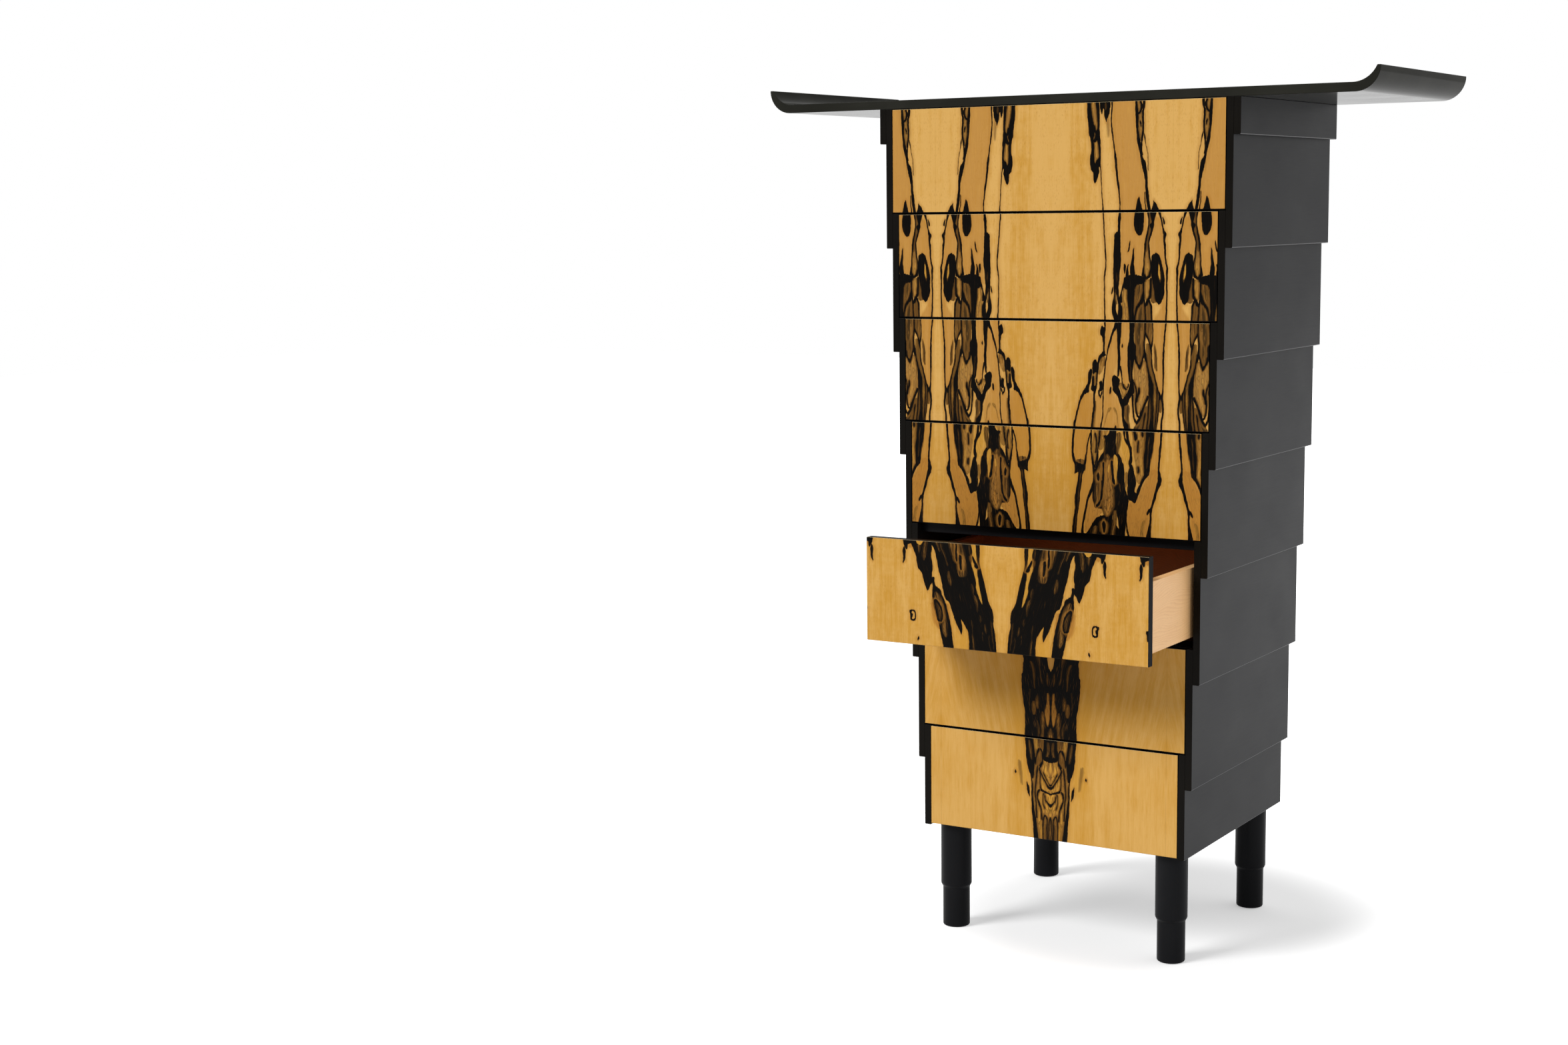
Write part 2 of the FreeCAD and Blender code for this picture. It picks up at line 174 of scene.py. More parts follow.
class LacquerLook(bpy.types.PropertyGroup):
    """Black lacquer, drawer wood and steel"""
    black: colour("Black", "Satin black of the sides, rails, back and legs", (0.0078, 0.0080, 0.0090))
    top_black: colour("Top black", "Rubbed black of the top", (0.0195, 0.0193, 0.0158))
    warm_black: colour("Warm black", "Matt black of the case's front edges", (0.0046, 0.0038, 0.0028))
    # Painted highlight: a lighter grey on the side boards' lower outer edges, standing in for the bright line
    # those edges catch
    side_edge_highlight: colour("Rubbed arris", "Edges where the black is rubbed thin", (0.110, 0.110, 0.112))
    # Also laid on the lower lips of the fronts outside CLEAR_LIPS, where it is painted shadow in the gap below
    # them
    edge: colour("Edge grey", "Painted edges of the drawer fronts", (0.004, 0.004, 0.005))
    edge_gloss: share("Edge gloss", "Strength of the reflection on the fronts' painted edges", 0.012)
    roughness: share("Black roughness", "Roughness of the black lacquer", 0.40)
    side_gloss: share("Side gloss", "Strength of the reflection on the sides", 0.062)
    top_gloss: share("Top gloss", "Strength of the reflection on the top", 0.008)
    top_roughness: share("Top roughness", "Roughness of the top's lacquer", 0.11)
    front_gloss: share("Front gloss", "Strength of the reflection on front edges and legs", 0.05)
    box_wood: colour("Box wood", "Outside of the drawer boxes", (0.960, 0.570, 0.250))
    box_grain: colour("Box grain", "Grain lines of the drawer boxes", (0.760, 0.370, 0.150))
    # Painted shade: the drawers' inward faces and bottoms are darker and redder than the outside, standing in
    # for the shade inside a drawer
    inside_shade_wood: colour("Inside wood", "Oiled inside of the drawers", (0.430, 0.165, 0.048))
    box_roughness: share("Box roughness", "Roughness of the drawer boxes", 0.5)
    steel: colour("Steel", "Runners, bolts and screws", (0.420, 0.420, 0.430))
    steel_roughness: share("Steel roughness", "Roughness of the steel", 0.34)


class StageLook(bpy.types.PropertyGroup):
    """Floor, light and lens"""
    floor: colour("Floor", "Studio floor", (0.70, 0.70, 0.70))
    floor_lift: share("Floor lift", "White added to the floor where it is seen", 0.41)
    sun: FloatProperty(name="Key light", description="Strength of the soft key light",
                       default=2.42, min=0.0)
    sun_spread: FloatProperty(name="Key spread", description="Apparent size of the key light",
                              default=radians(24.0), subtype="ANGLE")
    front_level: share("Front level", "Brightness of the studio behind the viewer", 0.20)
    back_level: share("Back level", "Brightness of the studio behind the chest", 0.80)
    right_level: share("Right level", "Brightness added from the viewer's right", 0.50)
    lens: FloatProperty(name="Lens", description="Focal length in millimetres", default=53.57,
                        min=1.0, subtype="DISTANCE_CAMERA")


# Shader nodes

class Value:
    """A shader socket to reckon with: each operator on it adds one Math node."""

    def __init__(self, finish, socket):
        self.finish = finish
        self.socket = socket

    def outlet(self, name):
        return Value(self.finish, self.socket.node.outputs[name])

    def reckon(self, operation, *terms):
        return self.finish.node("ShaderNodeMath", {"operation": operation}, dict(enumerate(terms)))

    def __add__(self, other):
        return self.reckon("ADD", self, other)

    __radd__ = __add__

    def __sub__(self, other):
        return self.reckon("SUBTRACT", self, other)

    def __rsub__(self, other):
        return self.reckon("SUBTRACT", other, self)

    def __mul__(self, other):
        return self.reckon("MULTIPLY", self, other)

    __rmul__ = __mul__

    def __truediv__(self, other):
        return self.reckon("DIVIDE", self, other)

    def __abs__(self):
        return self.reckon("ABSOLUTE", self)

    def __gt__(self, other):
        return self.reckon("GREATER_THAN", self, other)

    def least(self, other):
        return self.reckon("MINIMUM", self, other)

    def most(self, other):
        return self.reckon("MAXIMUM", self, other)

    def fraction(self):
        return self.reckon("FRACT", self)

    def step(self, low, high):
        """0 below low, 1 above high, and smooth between them."""
        return self.finish.node("ShaderNodeMapRange", {"interpolation_type": "SMOOTHSTEP"},
                                {"Value": self, "From Min": low, "From Max": high})

    def shows(self, mark):
        """1 where this noise is high enough for a mark of the veneer to show."""
        return self.step(*LEVELS[mark])

    def sway(self, amount):
        """This noise as a change of up to half the amount, either way."""
        return (self - 0.5) * amount


class Finish:
    """The node tree of one material or of the world, built node by node."""

    def __init__(self, owner):
        owner.use_nodes = True
        self.owner = owner
        self.tree = owner.node_tree
        self.tree.nodes.clear()

    def node(self, kind, settings=None, inputs=None, output=0):
        made = self.tree.nodes.new(kind)
        for name, setting in (settings or {}).items():
            if name == "points":
                draw_curve(made.mapping, setting)
            else:
                setattr(made, name, setting)
        for key, term in (inputs or {}).items():
            socket = made.inputs[key]
            if isinstance(term, Value):
                self.tree.links.new(term.socket, socket)
            elif socket.type == "RGBA":
                socket.default_value = (*term, 1.0)
            else:
                socket.default_value = term
        return Value(self, made.outputs[output]) if made.outputs else made

    def mix(self, factor, first, second):
        return self.node("ShaderNodeMix", {"data_type": "RGBA"}, {0: factor, 6: first, 7: second}, 2)

    def noise(self, across, along, depth, detail):
        spot = self.node("ShaderNodeCombineXYZ", inputs={0: across, 1: along, 2: depth})
        return self.node("ShaderNodeTexNoise", inputs={"Vector": spot, "Scale": 1.0, "Detail": detail})

    def grain(self, name, across, down):
        """One of the veneer's noises."""
        wide, tall, seed, detail = GRAIN[name]
        return self.noise(across / wide, down / tall, seed, detail)

    def drawn_out(self, along, sides, sizes):
        """A noise all through a piece, drawn out along its grain."""
        wide, tall, detail = sizes
        return self.noise(sides[0] / wide, along / tall, sides[1] / wide, detail)

    def millimetres(self):
        """The place on the piece as three values in millimetres."""
        place = self.node("ShaderNodeTexCoord", output="Object")
        split = self.node("ShaderNodeSeparateXYZ", inputs={0: place})
        return [split.outlet(axis) * MM for axis in "XYZ"]

    def bump(self, height, strength, distance):
        return self.node("ShaderNodeBump", inputs={"Strength": strength, "Distance": distance,
                                                   "Height": height})

    def surface(self, **sockets):
        inputs = {}
        for name, term in sockets.items():
            inputs[name.replace("_", " ").title().replace("Ior", "IOR")] = term
        shader = self.node("ShaderNodeBsdfPrincipled", inputs=inputs)
        self.node("ShaderNodeOutputMaterial", inputs={"Surface": shader})
        return self.owner


def draw_curve(mapping, points):
    """Lays a smooth curve through the points, level beyond its ends."""
    mapping.use_clip = False
    mapping.extend = "HORIZONTAL"
    curve = mapping.curves[0].points
    curve[0].location = points[0]
    curve[1].location = points[-1]
    for x, y in points[1:-1]:
        curve.new(x, y)
    for point in curve:
        point.handle_type = "AUTO_CLAMPED"
    mapping.update()


def new_finish(name):
    return Finish(bpy.data.materials.new(name))


# Spalted veneer. Each layer is a drawer, a kind of stroke and its strokes, painted in order. A stroke is rows
# of (depth below the case's top, left, right), in millimetres from the middle of the chest, read off the wood.
# The leaves are book-matched, so a stroke shows on both sides of the middle and again past the joint of the
# outer leaves.

FIGURE = (
    (1, "honey",
     ((0, 116, 158), (50, 116, 161), (80, 120, 165), (110, 125, 172), (150, 129, 180), (193, 132, 184))),
    (1, "tan",
     ((0, 74, 86), (20, 76, 88), (60, 80, 89), (95, 80, 92), (108, 80, 92)),
     ((0, 164, 172), (40, 165, 172), (70, 168, 172))),
    (1, "stain",
     ((20, 103, 109), (45, 106, 111), (62, 108, 110))),
    (1, "zone",
     ((0, 67, 75), (22, 68.5, 77), (45, 70.5, 81.5), (58, 71.5, 82), (64, 73.5, 80.5), (85, 76, 81),
      (97, 74, 81.5), (106, 73.5, 82), (112, 74, 91.5), (120, 75.5, 91.5), (124, 79.5, 91),
      (136, 80.5, 87.5), (142, 83, 85.5)),
     ((0, 84, 90.5), (20, 86, 91.5), (45, 88, 92), (55, 84, 92.5), (62, 83, 93), (68, 87, 94),
      (80, 90, 94), (95, 91, 94), (104, 86, 94), (112, 84, 94.5), (115, 92.8, 95), (140, 95, 96.7),
      (170, 97, 98.8), (193, 98.3, 100.3)),
     ((40, 78, 81.5), (50, 80, 84.5), (58, 83.5, 90), (64, 82, 89), (70, 79.5, 84)),
     ((0, 92, 112), (8, 92, 112), (13, 92.5, 111.5)),
     ((12, 92, 98.5), (17, 93, 97.5), (22, 95, 96.5)),
     ((12, 100, 111), (22, 100.5, 110.5), (28, 101.5, 108.5), (33, 104, 106.5), (36, 105.2, 106)),
     ((0, 113.5, 116.8), (35, 113.3, 115.8), (50, 114.3, 117), (65, 116.3, 118.8), (80, 118.8, 121),
      (100, 120.5, 124.3), (125, 122.8, 127), (145, 125.8, 129.8), (165, 129.3, 131.8),
      (193, 130.5, 133)),
     ((0, 158.5, 163), (22, 159.5, 165), (55, 161.5, 166), (68, 163, 168.5), (78, 165, 171.5),
      (98, 169.5, 174), (106, 171, 179), (120, 174.5, 182), (140, 178.8, 183.5), (155, 179.8, 185),
      (182, 183, 188.5), (193, 184.5, 190)),
     ((160, 178.5, 180), (175, 178.3, 180), (193, 179.8, 182.5)),
     ((0, 173, 178), (12, 173.5, 177.5), (22, 172, 175.5), (45, 173, 176.5), (65, 171, 174.5),
      (85, 170.5, 173.5), (95, 171, 174.5)),
     ((3, 168.5, 171), (10, 170, 174), (18, 168.5, 172), (25, 164.5, 167)),
     ((58, 175.4, 176.2), (80, 180.4, 181.2), (100, 183.2, 184), (122, 184.4, 185.2)),
     ((37, 168.5, 170), (42, 169.5, 172), (46, 170.5, 172)),
     ((168, 167, 168.2), (176, 164, 170.5), (183, 162.5, 172.5), (193, 160.5, 176)),
     ((175, 195, 196), (180, 194.5, 200.5), (187, 192.5, 204), (193, 190, 207))),
    (1, "heart",
     ((4, 101, 106), (10, 101, 106), (15, 102, 105))),
    (2, "honey",
     ((193, 133, 182), (225, 133, 184), (260, 134, 178), (300, 134, 175), (320, 133, 142)),
     ((205, 198, 206), (230, 192, 214), (260, 190, 216), (300, 212, 219), (350, 212, 220), (386, 196, 219))),
    (2, "tan",
     ((193, 186, 191), (212, 187, 192), (232, 184, 190), (250, 180, 187), (280, 178, 190), (306, 177, 189)),
     ((318, 139, 146), (330, 138, 148), (345, 136.5, 148), (360, 137, 150), (386, 136, 152)),
     ((312, 180, 190), (330, 178.5, 191), (347, 182, 187))),
    (2, "bark",
     ((193, 186, 191), (225, 186, 191), (240, 183, 187), (262, 181, 184)),
     ((318, 164, 176), (326, 161, 177), (345, 159, 175), (352, 158, 170), (386, 158, 164)),
     ((310, 191, 196), (320, 191.5, 199), (345, 191.5, 203), (352, 193.5, 201)),
     ((349, 174, 178), (360, 167, 180), (370, 163, 181), (386, 161, 181)),
     ((349, 185, 188), (358, 182, 191), (370, 181.5, 193), (386, 181.5, 194))),
    (2, "zone",
     ((193, 98.5, 100.3), (235, 101.5, 103), (265, 104, 106), (285, 104.3, 106.2), (315, 102, 103.5),
      (355, 102.8, 104.3), (386, 104, 106.3)),
     ((193, 130, 133.5), (212, 127.6, 132.5), (226, 128, 131.5), (230, 123.5, 132), (240, 121.3, 133),
      (280, 120, 133.5), (315, 120.5, 130.5), (330, 120.8, 130), (340, 126.5, 130.5),
      (350, 128.5, 133), (360, 129.5, 136.5), (372, 129, 137.5), (386, 124, 135.5)),
     ((328, 121, 123.5), (340, 121.3, 123), (356, 118.5, 124.5), (365, 117.5, 125), (380, 121, 130),
      (386, 123, 133)),
     ((326, 118.8, 119.5), (331, 117, 119.5), (337, 116.3, 118)),
     ((193, 160.2, 176), (210, 158.4, 177), (222, 159.5, 176.3), (228, 162.5, 174.5), (234, 167, 171.5)),
     ((193, 183, 185.5), (210, 186, 187.5), (225, 184.3, 186.3), (240, 180.5, 183.5),
      (265, 178.2, 180), (290, 176.3, 178.5), (305, 174, 178)),
     ((193, 188, 201), (205, 191, 198), (212, 192, 196), (218, 188, 196.5), (225, 191, 194.5),
      (240, 187, 190), (248, 186, 188), (270, 187.8, 189.8), (290, 190.2, 192), (307, 187, 191)),
     ((193, 204, 208), (210, 209.5, 211.5), (228, 213, 217), (233, 213.5, 219.5), (244, 214.5, 217.5),
      (252, 215.3, 219), (275, 217, 219), (297, 219.8, 222.8), (350, 220.5, 222.8), (386, 218.5, 221.5)),
     ((204, 212, 213.5), (209, 213, 216), (215, 214.5, 216.5)),
     ((266, 199.5, 203), (270, 193, 206.5), (278, 192, 209.5), (288, 191, 212.5), (300, 191.5, 215.5),
      (310, 193, 216.8), (330, 198, 217), (340, 199, 215.5), (347, 200, 213.5), (355, 206, 208.5)),
     ((304, 153, 166), (307, 143, 177), (312, 140.5, 181), (317, 139, 180), (322, 138, 164),
      (330, 146, 160)),
     ((290, 176.3, 178.3), (300, 175.5, 178.5), (306, 176.5, 182), (310, 178, 187)),
     ((296, 190, 192), (302, 188, 191.5), (306, 185, 190.5), (310, 179, 187)),
     ((258, 158.5, 159.5), (265, 157, 159.3), (283, 153.8, 159), (291, 152.3, 160), (308, 154, 162)),
     ((286, 147.5, 149), (292, 145.5, 148.5), (306, 143.5, 149.5)),
     ((285, 140.5, 142), (290, 140, 143.5), (301, 141, 142)),
     ((246, 151.2, 152), (252, 149.5, 151.5), (263, 147.5, 148.5)),
     ((308, 142, 147), (318, 138.5, 142.5), (328, 136, 138.5), (338, 133.5, 136), (352, 130, 136.5)),
     ((310, 145, 166), (322, 146.5, 161.5), (345, 147, 160), (365, 149.5, 159), (386, 150.5, 161)),
     ((308, 174, 180), (318, 176, 179.3), (330, 176.8, 178.8), (347, 173, 180)),
     ((345, 174, 179), (350, 170.5, 177.5), (355, 167, 174), (360, 164, 169), (375, 160.5, 163.5),
      (386, 159.5, 162)),
     ((345, 176.5, 179.5), (352, 178, 181), (370, 180.3, 182), (386, 180.5, 182.5)),
     ((338, 190, 192.5), (344, 186.5, 191.5), (349, 183.5, 188), (358, 180, 184)),
     ((347, 186.5, 190), (352, 188, 191.5), (358, 190.5, 193.8), (386, 192.8, 194.8)),
     ((310, 189.5, 192.5), (320, 190.5, 193), (340, 188.5, 192))),
    (2, "heart",
     ((300, 125, 127), (310, 124.5, 127.5), (318, 125.5, 127)),
     ((330, 123.5, 126), (345, 123, 126.5), (354, 124.5, 127)),
     ((280, 205, 206), (288, 203.8, 208), (296, 204, 210.5), (305, 204.5, 211.5), (317, 208.5, 210))),
    (2, "gold",
     ((286, 205.5, 206.5), (296, 205.5, 208.5), (306, 206.5, 209.5), (311, 208, 209))),
    (3, "honey",
     ((386, 137, 151), (440, 134, 148), (490, 138, 150), (505, 142, 148)),
     ((386, 197, 218), (440, 197, 216), (480, 201, 216), (515, 209, 214)),
     ((386, 106, 122), (420, 105, 112), (440, 104, 108)),
     ((516, 62, 80), (540, 54, 82), (579, 47, 80)),
     ((520, 88, 100), (579, 84, 97)),
     ((400, 122, 128), (450, 109, 129), (500, 104, 118), (540, 103, 134), (579, 100, 136))),
    (3, "tan",
     ((477, 81, 88), (500, 80, 87)),
     ((450, 96, 105), (465, 95, 104)),
     ((496, 133, 139), (505, 134, 149), (512, 137, 147), (520, 138, 141.5)),
     ((530, 84, 88), (579, 81, 86)),
     ((540, 114, 118), (552, 108.5, 110.5), (565, 105, 106.5), (579, 102, 103.2)),
     ((540, 121.5, 124.5), (552, 127, 128.6), (565, 129, 130.2), (579, 130.4, 131.5))),
    (3, "streaked",
     ((455, 162, 186), (480, 160, 188), (520, 161, 186), (548, 163, 178)),
     ((446, 97, 104), (462, 95, 103), (480, 92, 96))),
    (3, "bark",
     ((386, 160, 181), (420, 161, 180), (440, 162, 179), (455, 164, 176), (467, 170.5, 172.5)),
     ((386, 182, 194), (405, 182, 194), (416, 187, 194), (425, 191, 194)),
     ((425, 198.5, 199.5), (432, 198, 201.5), (450, 199.5, 205), (460, 199, 205), (472, 203, 205)),
     ((533, 143, 151), (545, 141.5, 153), (560, 144, 152), (579, 148, 156)),
     ((518, 207, 214), (530, 206, 214), (545, 209, 213)),
     ((536, 183, 188), (548, 177, 187), (560, 171, 186), (570, 164, 185), (579, 158, 184))),
    (3, "strand",
     ((425, 183, 190), (450, 184, 194), (480, 188, 200), (500, 188, 206), (517, 188, 211), (533, 187, 211),
      (547, 186, 209), (558, 185, 207), (567, 184, 206), (579, 182, 204))),
    (3, "zone",
     ((386, 104, 106), (395, 103.8, 105.5), (402, 103, 105)),
     ((395, 98.5, 100.5), (398, 97, 104.5), (404, 95.5, 104.5), (410, 96.3, 104.5), (415, 100, 104.8),
      (438, 101, 104), (444, 98, 104.5)),
     ((386, 124, 130), (396, 122, 127), (400, 119.5, 126), (405, 118, 122.5), (415, 114.8, 118.3),
      (425, 111.5, 115.2), (440, 108.5, 110.5), (455, 105.5, 107.3), (470, 103.8, 105.8),
      (495, 101, 103), (530, 100.5, 102), (555, 100.3, 102), (570, 97, 99.5), (579, 96, 98.5)),
     ((386, 124, 136.5), (395, 125, 136), (402, 127.5, 135.5), (430, 128.5, 133.8), (460, 129.8, 134),
      (475, 129, 132.5), (483, 128.5, 131.5)),
     ((466, 133, 135), (482, 136.3, 137.8), (498, 139, 140.5), (503, 140.5, 143), (506, 142.5, 147)),
     ((497, 149.8, 151), (503, 148, 150)),
     ((426.5, 137.5, 138.5), (429, 137, 139.5), (432, 137.5, 138.5)),
     ((386, 151.5, 161), (410, 151.5, 159.5), (422, 150, 160), (430, 149, 163), (440, 148.8, 163.5),
      (460, 148.3, 160), (480, 150, 157.5), (495, 154, 160)),
     ((482, 122, 124), (485, 119.5, 130), (490, 118.5, 134), (503, 120, 131.5), (510, 121.5, 134),
      (516, 127, 136), (522, 130.5, 138.5), (528, 132.5, 145), (533, 134, 146), (538, 136.5, 142),
      (555, 138.5, 142), (562, 139.5, 144), (570, 141, 150), (579, 145, 152)),
     ((488, 155, 159.5), (493, 154, 160.5), (500, 152.5, 161), (510, 149, 161), (516, 145.5, 158),
      (522, 141, 153), (533, 135, 148)),
     ((515, 157, 160), (540, 157.8, 160.2), (550, 158.8, 161.8), (558, 160.3, 163.5), (567, 165, 168)),
     ((517, 186.5, 189), (533, 180, 183), (547, 174, 178), (558, 169, 174), (567, 165.5, 168)),
     ((493, 160.3, 161.5), (500, 162.5, 164), (515, 164.8, 166.5), (530, 163.3, 165.5),
      (548, 165, 167.5), (555, 168, 171)),
     ((503, 169.5, 171.5), (508, 168.5, 172), (520, 166, 168.5), (528, 165, 167)),
     ((445, 161, 163.5), (458, 163.5, 167), (463, 167, 172), (468, 170.5, 173)),
     ((386, 180.5, 182.5), (410, 180, 182), (430, 178.5, 180.5), (440, 178.5, 182.5),
      (452, 175.5, 178), (468, 171.5, 173)),
     ((405, 181, 182.5), (411, 182.5, 185.5), (422, 188.3, 190.3), (430, 190.5, 194.5),
      (445, 193.5, 195), (465, 194.8, 196.5), (480, 198.8, 201), (505, 205, 207), (518, 208.5, 212),
      (523, 209.5, 211.5)),
     ((386, 194, 196), (415, 195, 196.5), (432, 192.5, 194.5)),
     ((440, 180, 182.5), (447, 179.5, 184), (460, 184, 186), (475, 187, 189.5), (490, 190, 195),
      (500, 189.5, 198), (520, 191.5, 197), (545, 193.5, 198), (579, 190, 199)),
     ((386, 219.5, 222), (415, 216.8, 219), (445, 215, 218), (490, 215.3, 217.5), (510, 214, 216.3),
      (517, 212, 216), (525, 213.8, 216.5), (545, 215, 217.8), (565, 212.5, 215.5), (579, 212, 215)),
     ((443, 98, 102), (446, 94.5, 106.5), (450, 92, 98.5), (460, 90, 94), (466, 80.5, 93),
      (472, 80.3, 92), (476, 88.5, 91.5), (490, 87.8, 90), (500, 86.8, 89), (507, 83, 88.5),
      (515, 83, 86.5), (535, 82.3, 85.3), (555, 80.5, 83.5), (579, 78.3, 81.3)),
     ((455, 83.5, 86.5), (459, 81, 88.5), (464, 80.3, 91.5), (475, 80.8, 91.5), (479, 81, 83.5)),
     ((472, 76, 79), (475, 74, 80), (486, 72, 78.5), (498, 70.5, 76), (503, 68, 74), (508, 65, 73.5),
      (512, 62, 74), (515, 60.5, 70), (519, 58.5, 64), (532, 54, 57), (550, 49.8, 52.5),
      (570, 44, 47.5), (579, 43.8, 46.8)),
     ((485, 80.5, 82.5), (500, 79, 83), (506, 78, 88), (510, 79, 84)),
     ((493, 96, 98.5), (496, 94, 100), (505, 94.5, 101), (510, 94, 99)),
     ((510, 92.5, 95), (516, 92.8, 94.5), (520, 94, 97.5), (523, 95.5, 97)),
     ((512, 98, 99.5), (518, 97, 98.5)),
     ((504, 115.8, 117), (508, 114.5, 117.5), (515, 114.8, 116)),
     ((572, 125.5, 127), (579, 124, 128)),
     ((478, 188, 189.5), (500, 189.5, 191), (530, 189, 190.5), (560, 187, 188.5), (579, 185.5, 187)),
     ((500, 203.5, 204.7), (520, 204, 205.5), (545, 203, 204.5), (579, 200, 201.5)),
     ((516, 208, 209), (535, 207.5, 208.7), (560, 205, 206.2), (579, 203, 204.2)),
     ((548, 182, 183), (560, 180, 181.2), (579, 177, 178.5))),
    (3, "heart",
     ((455, 152, 155), (470, 152.5, 155), (490, 154, 156.5)),
     ((520, 194, 195.5), (560, 194, 196))),
    (4, "amber",
     ((650, 193, 208), (672, 182, 206), (685, 174, 203), (700, 168, 198), (712, 151, 194), (740, 149, 192),
      (772, 153, 188))),
    (4, "honey",
     ((579, 200, 211), (620, 196, 209), (650, 192, 208)),
     ((579, 47, 76), (610, 45, 70), (640, 50, 64)),
     ((610, 73, 77), (660, 63, 82), (700, 58, 73), (740, 53, 64), (772, 51, 60))),
    (4, "tan",
     ((740, 181, 184), (750, 177, 182), (772, 174, 181)),
     ((579, 84, 95), (610, 81, 91), (640, 83, 87)),
     ((655, 145, 150), (665, 145, 149.5), (680, 146, 147.5))),
    (4, "streaked",
     ((579, 157, 185), (610, 160, 182), (650, 166, 181), (672, 168, 176)),
     ((579, 98, 112), (600, 96, 104), (615, 93, 100))),
    (4, "bark",
     ((636, 50, 66), (645, 52, 66))),
    (4, "strand",
     ((579, 181, 202), (610, 180, 199), (640, 179, 193), (658, 181, 190))),
    (4, "orange",
     ((695, 80, 82), (705, 76, 84), (715, 72, 100), (725, 70, 104), (735, 69, 96), (745, 67.5, 87),
      (765, 66, 74))),
    (4, "zone",
     ((579, 43.5, 46.5), (600, 41.3, 44.8), (620, 40.3, 44), (635, 42.5, 48), (640, 44.3, 50.5),
      (645, 46.5, 63), (650, 47.5, 66), (655, 47, 62), (661, 46.5, 48)),
     ((588, 76, 79), (593, 74, 76.5), (610, 70.5, 72.3), (630, 67.3, 69.5), (645, 63.5, 68),
      (658, 55, 63)),
     ((655, 56, 64), (665, 53.5, 61.5), (685, 50.8, 58.7), (705, 47.5, 56.5), (725, 47, 54.2),
      (755, 43.5, 50.7), (772, 42, 50.3)),
     ((579, 78.3, 80.5), (610, 77.8, 79.8), (630, 78.5, 81), (648, 82, 86), (662, 83, 89),
      (680, 80.5, 85), (690, 77, 82.5), (698, 73.5, 79), (705, 71.5, 75), (720, 68, 71),
      (740, 63.8, 67), (760, 60.5, 64), (772, 59, 64.5)),
     ((579, 95.5, 97.5), (600, 92.5, 95), (615, 91, 92.5), (632, 88.5, 92), (648, 84.5, 89)),
     ((588, 86, 88), (600, 88, 89.5), (612, 88.3, 89.5), (622, 87, 88.5)),
     ((579, 115, 128), (588, 112, 127.5), (591, 103.5, 127), (598, 106, 126.5), (612, 106, 128),
      (618, 104, 130), (630, 96, 137), (642, 90, 140), (648, 88, 141), (660, 86, 142),
      (680, 83, 144), (700, 82, 142), (712, 84, 138), (722, 88, 132)),
     ((636, 129, 139), (650, 132, 142.5), (672, 127, 144), (690, 127, 147), (700, 127.5, 151),
      (715, 126, 148), (730, 130, 147.5), (745, 133, 147), (772, 134.5, 145)),
     ((720, 124, 130), (726, 120, 126), (731, 112, 124), (735, 100, 120), (738, 92, 120),
      (746, 85, 124), (758, 78, 134), (765, 74, 136), (772, 66, 136)),
     ((640, 152, 157), (645, 153, 160), (655, 151, 162.5), (670, 150.5, 166), (688, 150, 163),
      (694, 150.5, 168.5), (704, 153, 167), (708, 162.5, 165.5)),
     ((579, 186, 198), (590, 184.5, 200), (610, 183, 197.5), (630, 181.5, 193), (656, 182, 191),
      (661, 180, 187), (672, 175, 180), (684, 168.5, 174), (697, 166, 169.5), (708, 162.5, 165)),
     ((579, 141, 145), (588, 141.5, 144.5), (603, 146, 152), (610, 150, 157), (625, 154, 158),
      (640, 151.5, 155.5)),
     ((579, 146, 150), (600, 148.5, 153), (607, 150, 155)),
     ((579, 161, 164), (588, 162, 167), (596, 164, 166)),
     ((579, 176.5, 178.5), (584, 176.5, 179.5), (589, 177.5, 179)),
     ((597, 169, 170), (607, 168.5, 170.5), (618, 168.3, 169.8)),
     ((644, 169, 170.5), (650, 169, 171.5), (654, 169.5, 170.5)),
     ((579, 212.5, 215.8), (612, 210, 213.3), (645, 208, 210.8), (658, 207.8, 213), (664, 208, 214.5),
      (673, 206.3, 213.5), (684, 203.3, 207.8), (700, 198.5, 203.3), (716, 194.5, 198.5),
      (720, 190.5, 197.8), (725, 193.5, 196.5), (745, 192.5, 195.8), (755, 190, 195.5), (772, 186, 196)),
     ((718, 192, 196), (723, 188, 192.5), (728, 187, 189.5)),
     ((700, 148, 152), (720, 147.5, 149.8), (735, 146.5, 148.8), (758, 148.5, 151), (772, 151.5, 155.5))),
    (4, "heart",
     ((660, 57, 61), (680, 54.5, 57.5), (700, 52, 56), (720, 50.5, 53.5), (745, 47, 50), (772, 45.5, 48.5)),
     ((600, 103, 106.5), (620, 103, 106.5), (640, 102, 105)),
     ((624, 106, 113), (634, 104, 118), (648, 102.5, 120), (662, 102, 121), (678, 101.5, 124),
      (692, 101, 127), (708, 100, 127), (718, 99.5, 126), (728, 102, 121), (736, 106, 114)),
     ((636, 98, 100), (646, 92, 101.5), (656, 89.5, 101.5), (668, 88.5, 100.5)),
     ((675, 133, 136.5), (682, 133.5, 138), (690, 135, 138)),
     ((740, 102, 106), (746, 99, 110), (758, 98, 112), (768, 99, 108), (772, 100, 106)),
     ((755, 84, 93), (764, 82, 92), (772, 80, 90)),
     ((725, 122, 130), (745, 120, 130), (772, 116, 126)),
     ((585, 129, 137), (600, 128, 136), (615, 127, 133), (624, 128, 131)),
     ((590, 189, 192), (620, 187, 190), (645, 185, 187.5))),
    (4, "umber",
     ((668, 88, 99), (680, 85, 99.5), (700, 83.5, 98.5), (710, 85, 96), (720, 88.5, 91.5))),
    (4, "gold",
     ((592, 137.5, 140), (600, 138, 145), (608, 138, 150), (620, 140, 153), (635, 145, 151.5),
      (642, 148, 151)),
